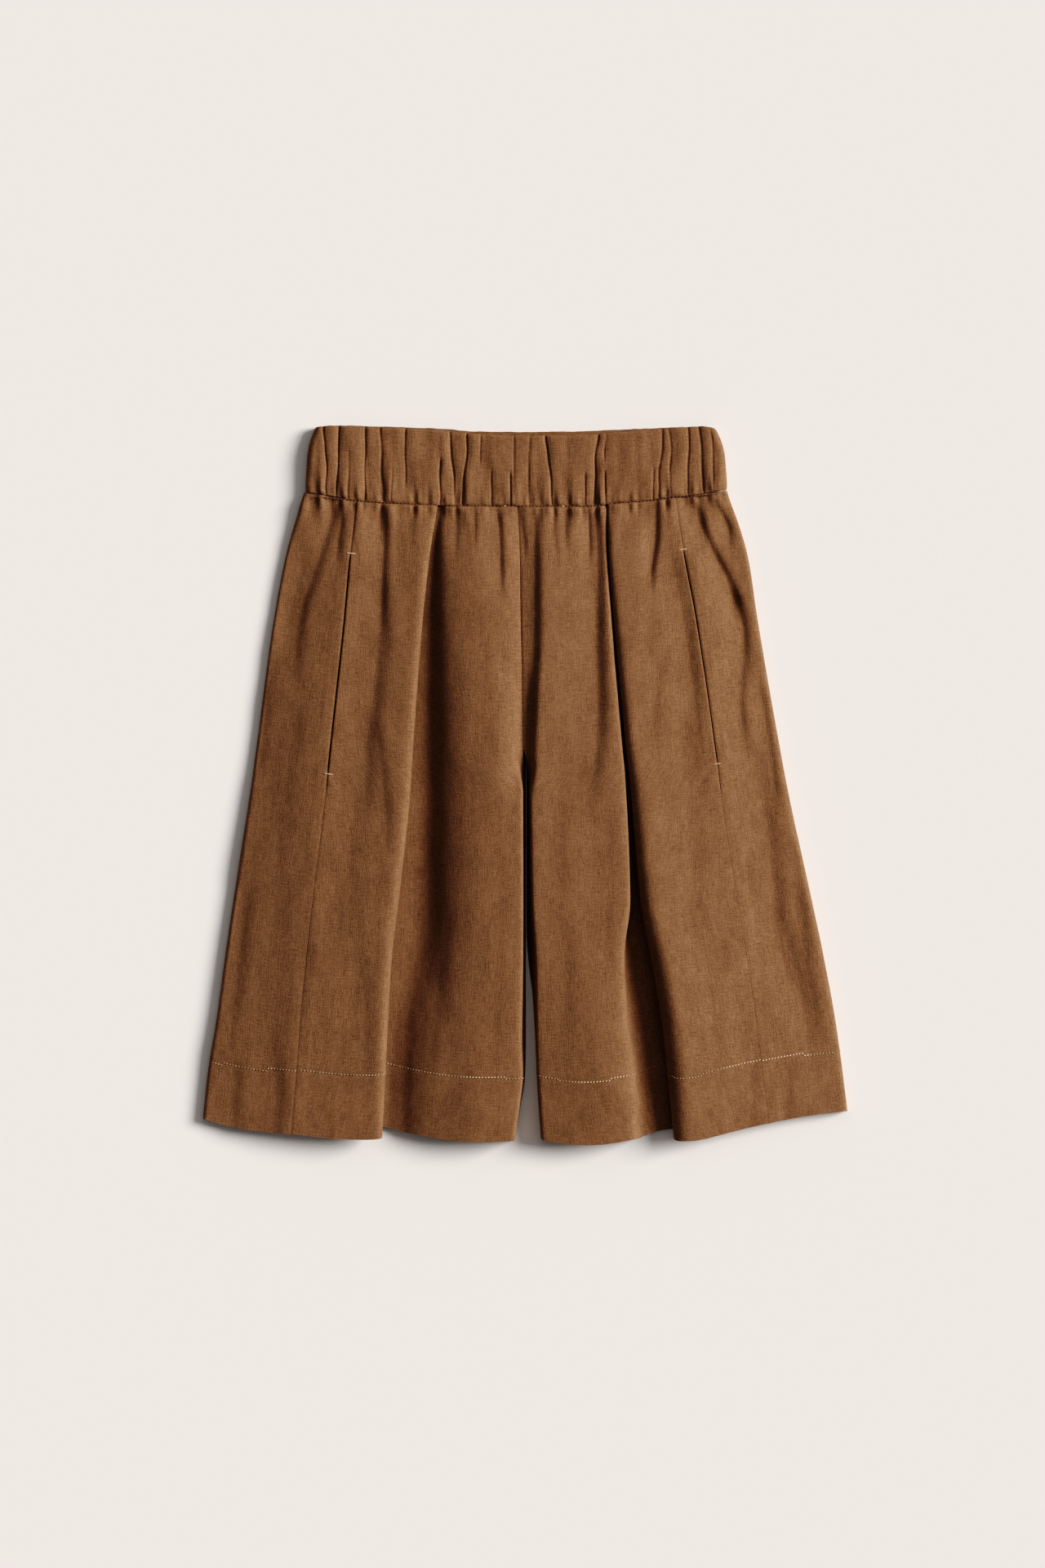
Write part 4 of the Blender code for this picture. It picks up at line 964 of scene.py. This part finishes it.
def stitches(name, runs, material):
    """Joined beads of thread. A run has points, normals, length, pitch, half width, slant, tones."""
    vertices, faces, tones = [], [], []
    for number, (points, normals, length, pitch, half_width, slant, tone) in enumerate(runs):
        uneven = np.random.default_rng(STITCH_SEED + number)
        reach = reach_of(np.linalg.norm(np.diff(points, axis=0), axis=1))
        for at in np.arange(pitch / 2, reach[-1] - pitch / 2, pitch):
            centre = on_line(at, reach, points)
            along = on_line(at + STITCH_AHEAD, reach, points) - centre
            up = on_line(at, reach, normals)
            if np.linalg.norm(along) < 1e-6:
                continue
            along = unit(along)
            beside = unit(np.cross(up, along))
            up = np.cross(along, beside)
            along, beside = (math.cos(slant) * along + math.sin(slant) * beside,
                             math.cos(slant) * beside - math.sin(slant) * along)
            first = len(vertices)
            shade = tone(centre[0], uneven)
            for share, size in BEAD_RINGS:
                for k in range(BEAD_SIDES):
                    a = 2 * math.pi * k / BEAD_SIDES
                    vertices.append(centre + share * length / 2 * along
                                    + half_width * size * (math.cos(a) * beside + math.sin(a) * up))
                    tones.append(shade)
            for r in range(len(BEAD_RINGS) - 1):
                for k in range(BEAD_SIDES):
                    n = (k + 1) % BEAD_SIDES
                    low, high = first + r * BEAD_SIDES, first + (r + 1) * BEAD_SIDES
                    faces.append((low + k, low + n, high + n, high + k))
            last = first + (len(BEAD_RINGS) - 1) * BEAD_SIDES
            faces.append(tuple(first + k for k in range(BEAD_SIDES))[::-1])
            faces.append(tuple(last + k for k in range(BEAD_SIDES)))
    vertices = np.array(vertices)
    thing = link(name, vertices, faces, vertices[:, :2].copy(), 1, material)
    layer = thing.data.attributes.new("tone", "FLOAT", "POINT")
    layer.data.foreach_set("value", np.array(tones, dtype=np.float32))
    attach(thing, "root")


# Linen's darker and lighter threads, thread of the hems, and floor, as linear colours
LINEN_DARK = (0.150, 0.078, 0.043, 1.0)
LINEN_LIGHT = (0.325, 0.178, 0.103, 1.0)
THREAD_DARK = (0.10, 0.045, 0.020, 1.0)
THREAD_PALE = (0.80, 0.60, 0.41, 1.0)
FLOOR_COLOUR = (0.842, 0.803, 0.772, 1.0)
# Painted light: the floor glows a little, which lifts the shadows cast on it
FLOOR_GLOW = 0.03
# Threads of the cloth: width, length and detail of their noise, and its share in tone and relief
THREADS = ((0.85, 8.0, 2.0, 0.9, 1.3), (2.0, 34.0, 2.0, 0.4, 0), (7.0, 0.9, 2.0, 0.95, 0.9),
           (1.0, 1.1, 2.0, 1.4, 0.9), (15.0, 24.0, 3.0, 0.55, 0))
MEAN_TONE = 0.45
# Weave: length of an over and under, its share in the relief, and the relief's strength and depth
WEAVE_PITCH = 1.0
WEAVE_SHARE = 0.35
RELIEF = {"Strength": 0.5, "Distance": 0.0004}
LINEN_GLOSS = {"Roughness": 0.9, "Specular IOR Level": 0.15, "Sheen Weight": 0.12,
               "Sheen Roughness": 0.5, "Sheen Tint": (0.9, 0.7, 0.5, 1.0)}
THREAD_GLOSS = {"Roughness": 0.75, "Specular IOR Level": 0.25}
# Floor: pale and matte, with the faint painted glow
FLOOR_SHADER_AND_GLOW = {"Base Color": FLOOR_COLOUR, "Roughness": 1.0, "Specular IOR Level": 0.0,
               "Emission Color": FLOOR_COLOUR, "Emission Strength": FLOOR_GLOW}

# Lights: energy, spread, azimuth from +X and elevation, in degrees. World's light, all round
LIGHTS = (("key", 4.70, 26, 15, 31), ("high", 0.35, 60, 60, 60))
LIGHT_COLOUR = (1.0, 0.99, 0.975)
WORLD_LIGHT = {"Color": (1.0, 1.0, 1.0, 1.0), "Strength": 0.13}
# Darker darks, as in the photo
TONE_POINTS = ((0.02, 0.004), (0.05, 0.017), (0.12, 0.088), (0.25, 0.25), (0.5, 0.5))
FLOOR_SIZE = 12
FLOOR_LEVEL = -0.0003
# Camera: place in metres, height of the garment's middle, and what the frame's long side shows there
CAMERA_PLACE = (-0.0020, 0.0014, 6.0)
MIDDLE_LEVEL = 0.012
FRAME_LENGTH = 1.2096
SENSOR = 36
FAR_END = 50


class Nodes:
    """Short ways to add and join shader nodes."""

    def __init__(self, name):
        self.material = bpy.data.materials.new(name)
        self.material.use_nodes = True
        self.tree = self.material.node_tree
        self.shader = self.tree.nodes["Principled BSDF"]

    def new(self, kind):
        return self.tree.nodes.new("ShaderNode" + kind)

    def put(self, socket, value):
        if isinstance(value, bpy.types.NodeSocket):
            self.tree.links.new(value, socket)
        else:
            socket.default_value = value

    def maths(self, operation, a, b=0.0):
        node = self.new("Math")
        node.operation = operation
        self.put(node.inputs[0], a)
        self.put(node.inputs[1], b)
        return node.outputs[0]

    def add(self, a, b):
        return self.maths("ADD", a, b)

    def times(self, a, b):
        return self.maths("MULTIPLY", a, b)

    def noise(self, u, v, wide, long, detail):
        """Noise of about 0 to 1 with bumps of the given width and length in millimetres."""
        join = self.new("CombineXYZ")
        self.put(join.inputs[0], self.times(u, 1 / wide))
        self.put(join.inputs[1], self.times(v, 1 / long))
        node = self.new("TexNoise")
        settle(node, {"Scale": 1.0, "Detail": detail})
        self.put(node.inputs["Vector"], join.outputs[0])
        return node.outputs["Fac"]

    def blend(self, factor, a, b):
        node = self.new("Mix")
        node.data_type = "RGBA"
        self.put(node.inputs[0], factor)
        self.put(node.inputs[6], a)
        self.put(node.inputs[7], b)
        return node.outputs[2]


def settle(node, values):
    """Sets a node's own sockets."""
    for name, value in values.items():
        node.inputs[name].default_value = value


def linen(name):
    """Plain-woven linen with slubs along both threads, in millimetres of the cloth's own map."""
    made = Nodes(name)
    cloth = made.new("UVMap")
    cloth.uv_map = "cloth"
    parts = made.new("SeparateXYZ")
    made.put(parts.inputs[0], cloth.outputs[0])
    u, v = parts.outputs[0], parts.outputs[1]
    turn = 2 * math.pi / WEAVE_PITCH
    over = made.times(made.maths("SINE", made.times(u, turn)), made.maths("SINE", made.times(v, turn)))
    height = made.times(over, WEAVE_SHARE)
    factor = MEAN_TONE
    for wide, long, detail, tone_share, relief_share in THREADS:
        field = made.noise(u, v, wide, long, detail)
        factor = made.add(made.times(made.add(field, -0.5), tone_share), factor)
        if relief_share:
            height = made.add(height, made.times(field, relief_share))
    made.put(made.shader.inputs["Base Color"], made.blend(factor, LINEN_DARK, LINEN_LIGHT))
    settle(made.shader, LINEN_GLOSS)
    relief = made.new("Bump")
    settle(relief, RELIEF)
    made.put(relief.inputs["Height"], height)
    made.put(made.shader.inputs["Normal"], relief.outputs["Normal"])
    return made.material


def thread(name):
    """Sewing thread whose tone attribute runs from dark to pale."""
    made = Nodes(name)
    tone = made.new("Attribute")
    tone.attribute_name = "tone"
    made.put(made.shader.inputs["Base Color"], made.blend(tone.outputs["Fac"], THREAD_DARK, THREAD_PALE))
    settle(made.shader, THREAD_GLOSS)
    return made.material


def hem_tone(x, uneven):
    """Tone of a hem stitch at x: a painted highlight makes it paler where the light catches the thread."""
    mean, gain, change = HEM_TONES
    pale = sum(smooth((x - a) / PALE_FADE) * smooth((b - x) / PALE_FADE) for a, b in HEM_HIGHLIGHT_SPANS)
    return float(np.clip(mean + gain * pale + uneven.uniform(-change, change), *TONE_RANGE))


def ditch_tone(x, uneven):
    """Tone of a stitch of the waist seam: dark, with a few pale ones."""
    pale, dark, share = DITCH_TONES
    return pale if uneven.random() < share else dark


def tack_tone(x, uneven):
    return TACK_TONE


def bartack(points, normals, y, side):
    """Short bar of thread across the side seam at y, as a run for stitches."""
    row = int(np.argmin(np.abs(points[:, 1] - y)))
    middle = points[row] + np.array(TACK_SHIFT) * (side, 1, 1)
    half = np.array(TACK_HALF) * (1, side, 1)
    bar = np.stack((middle - half, middle, middle + half))
    return bar, np.array([UPRIGHT] * len(bar)), *TACK_STITCH, tack_tone


def ditch(band_points, front_top):
    """Stitches that sink into the seam between the waistband and a front, as a run."""
    low = band_points[:BAND_FRONT + 1, -1]
    order = np.argsort(front_top[:, 0])
    points = low.copy()
    for k in (1, 2):
        top = np.interp(low[:, 0], front_top[order, 0], front_top[order, k])
        points[:, k] = (low[:, k] + top) / 2
    points[:, 2] += DITCH_RISE
    return points, np.array([UPRIGHT] * len(points)), *DITCH_STITCH, ditch_tone


def shorts():
    """Every piece of the garment."""
    fronts, backs, bands, bags = [linen(kind + "_cloth")
                                  for kind in ("front", "back", "waistband", "pocket")]
    hem_runs, tack_runs, seam_runs = [], [], []
    made = {}
    for leg, side in LEGS.items():
        front, front_hem, front_seam, front_top = panel(
            leg, 0, SEAM_LINE, FRONT_GRID, f"front_cloth_{leg}", f"front_{leg}", fronts)
        back, back_hem, _, _ = panel(
            leg, SEAM_LINE, LAST_LINE, BACK_GRID, f"back_cloth_{leg}", f"back_{leg}", backs)
        band, band_points = waistband(leg, bands)
        bag = pocket(leg, bags)
        made[leg] = (front, back, band, bag)
        for points, normals in (front_hem, back_hem):
            hem_runs.append((points + HEM_RISE * normals, normals, *HEM_STITCH, hem_tone))
        upper, lower, _ = MOUTHS[leg]
        for y in (upper, lower):
            tack_runs.append(bartack(*front_seam, y, side))
        seam_runs.append(ditch(band_points, front_top))
    stitches("hem_stitches", hem_runs, thread("hem_thread"))
    stitches("waist_stitches", seam_runs, thread("waist_thread"))
    stitches("bartacks", tack_runs, thread("bartack_thread"))
    return made


def stage():
    """Pale floor with a faint painted glow that lifts its shadows, soft key light from the upper right of
    the picture, and the camera above.
    """
    scene = bpy.context.scene
    bpy.ops.mesh.primitive_plane_add(size=FLOOR_SIZE, location=(0, 0, FLOOR_LEVEL))
    floor = bpy.context.object
    floor.name = "floor"
    cover = Nodes("floor")
    # The floor's shader includes the faint painted glow that lifts its shadows
    settle(cover.shader, FLOOR_SHADER_AND_GLOW)
    floor.data.materials.append(cover.material)

    for name, energy, spread, azimuth, elevation in LIGHTS:
        light = bpy.data.lights.new(name, "SUN")
        light.energy = energy
        light.angle = math.radians(spread)
        light.color = LIGHT_COLOUR
        lamp = bpy.data.objects.new(name, light)
        lamp.rotation_euler = (0.0, math.radians(90 - elevation), math.radians(azimuth))
        scene.collection.objects.link(lamp)

    world = bpy.data.worlds.new("world")
    world.use_nodes = True
    settle(world.node_tree.nodes["Background"], WORLD_LIGHT)
    scene.world = world

    lens = bpy.data.cameras.new("camera")
    lens.sensor_width = SENSOR
    lens.lens = SENSOR * (CAMERA_PLACE[2] - MIDDLE_LEVEL) / FRAME_LENGTH
    lens.clip_end = FAR_END
    camera = bpy.data.objects.new("camera", lens)
    camera.location = CAMERA_PLACE
    scene.collection.objects.link(camera)
    scene.camera = camera

    view = scene.view_settings
    view.view_transform = "Standard"
    view.use_curve_mapping = True
    for x, y in TONE_POINTS:
        view.curve_mapping.curves[3].points.new(x, y)
    view.curve_mapping.update()


made = shorts()
stage()
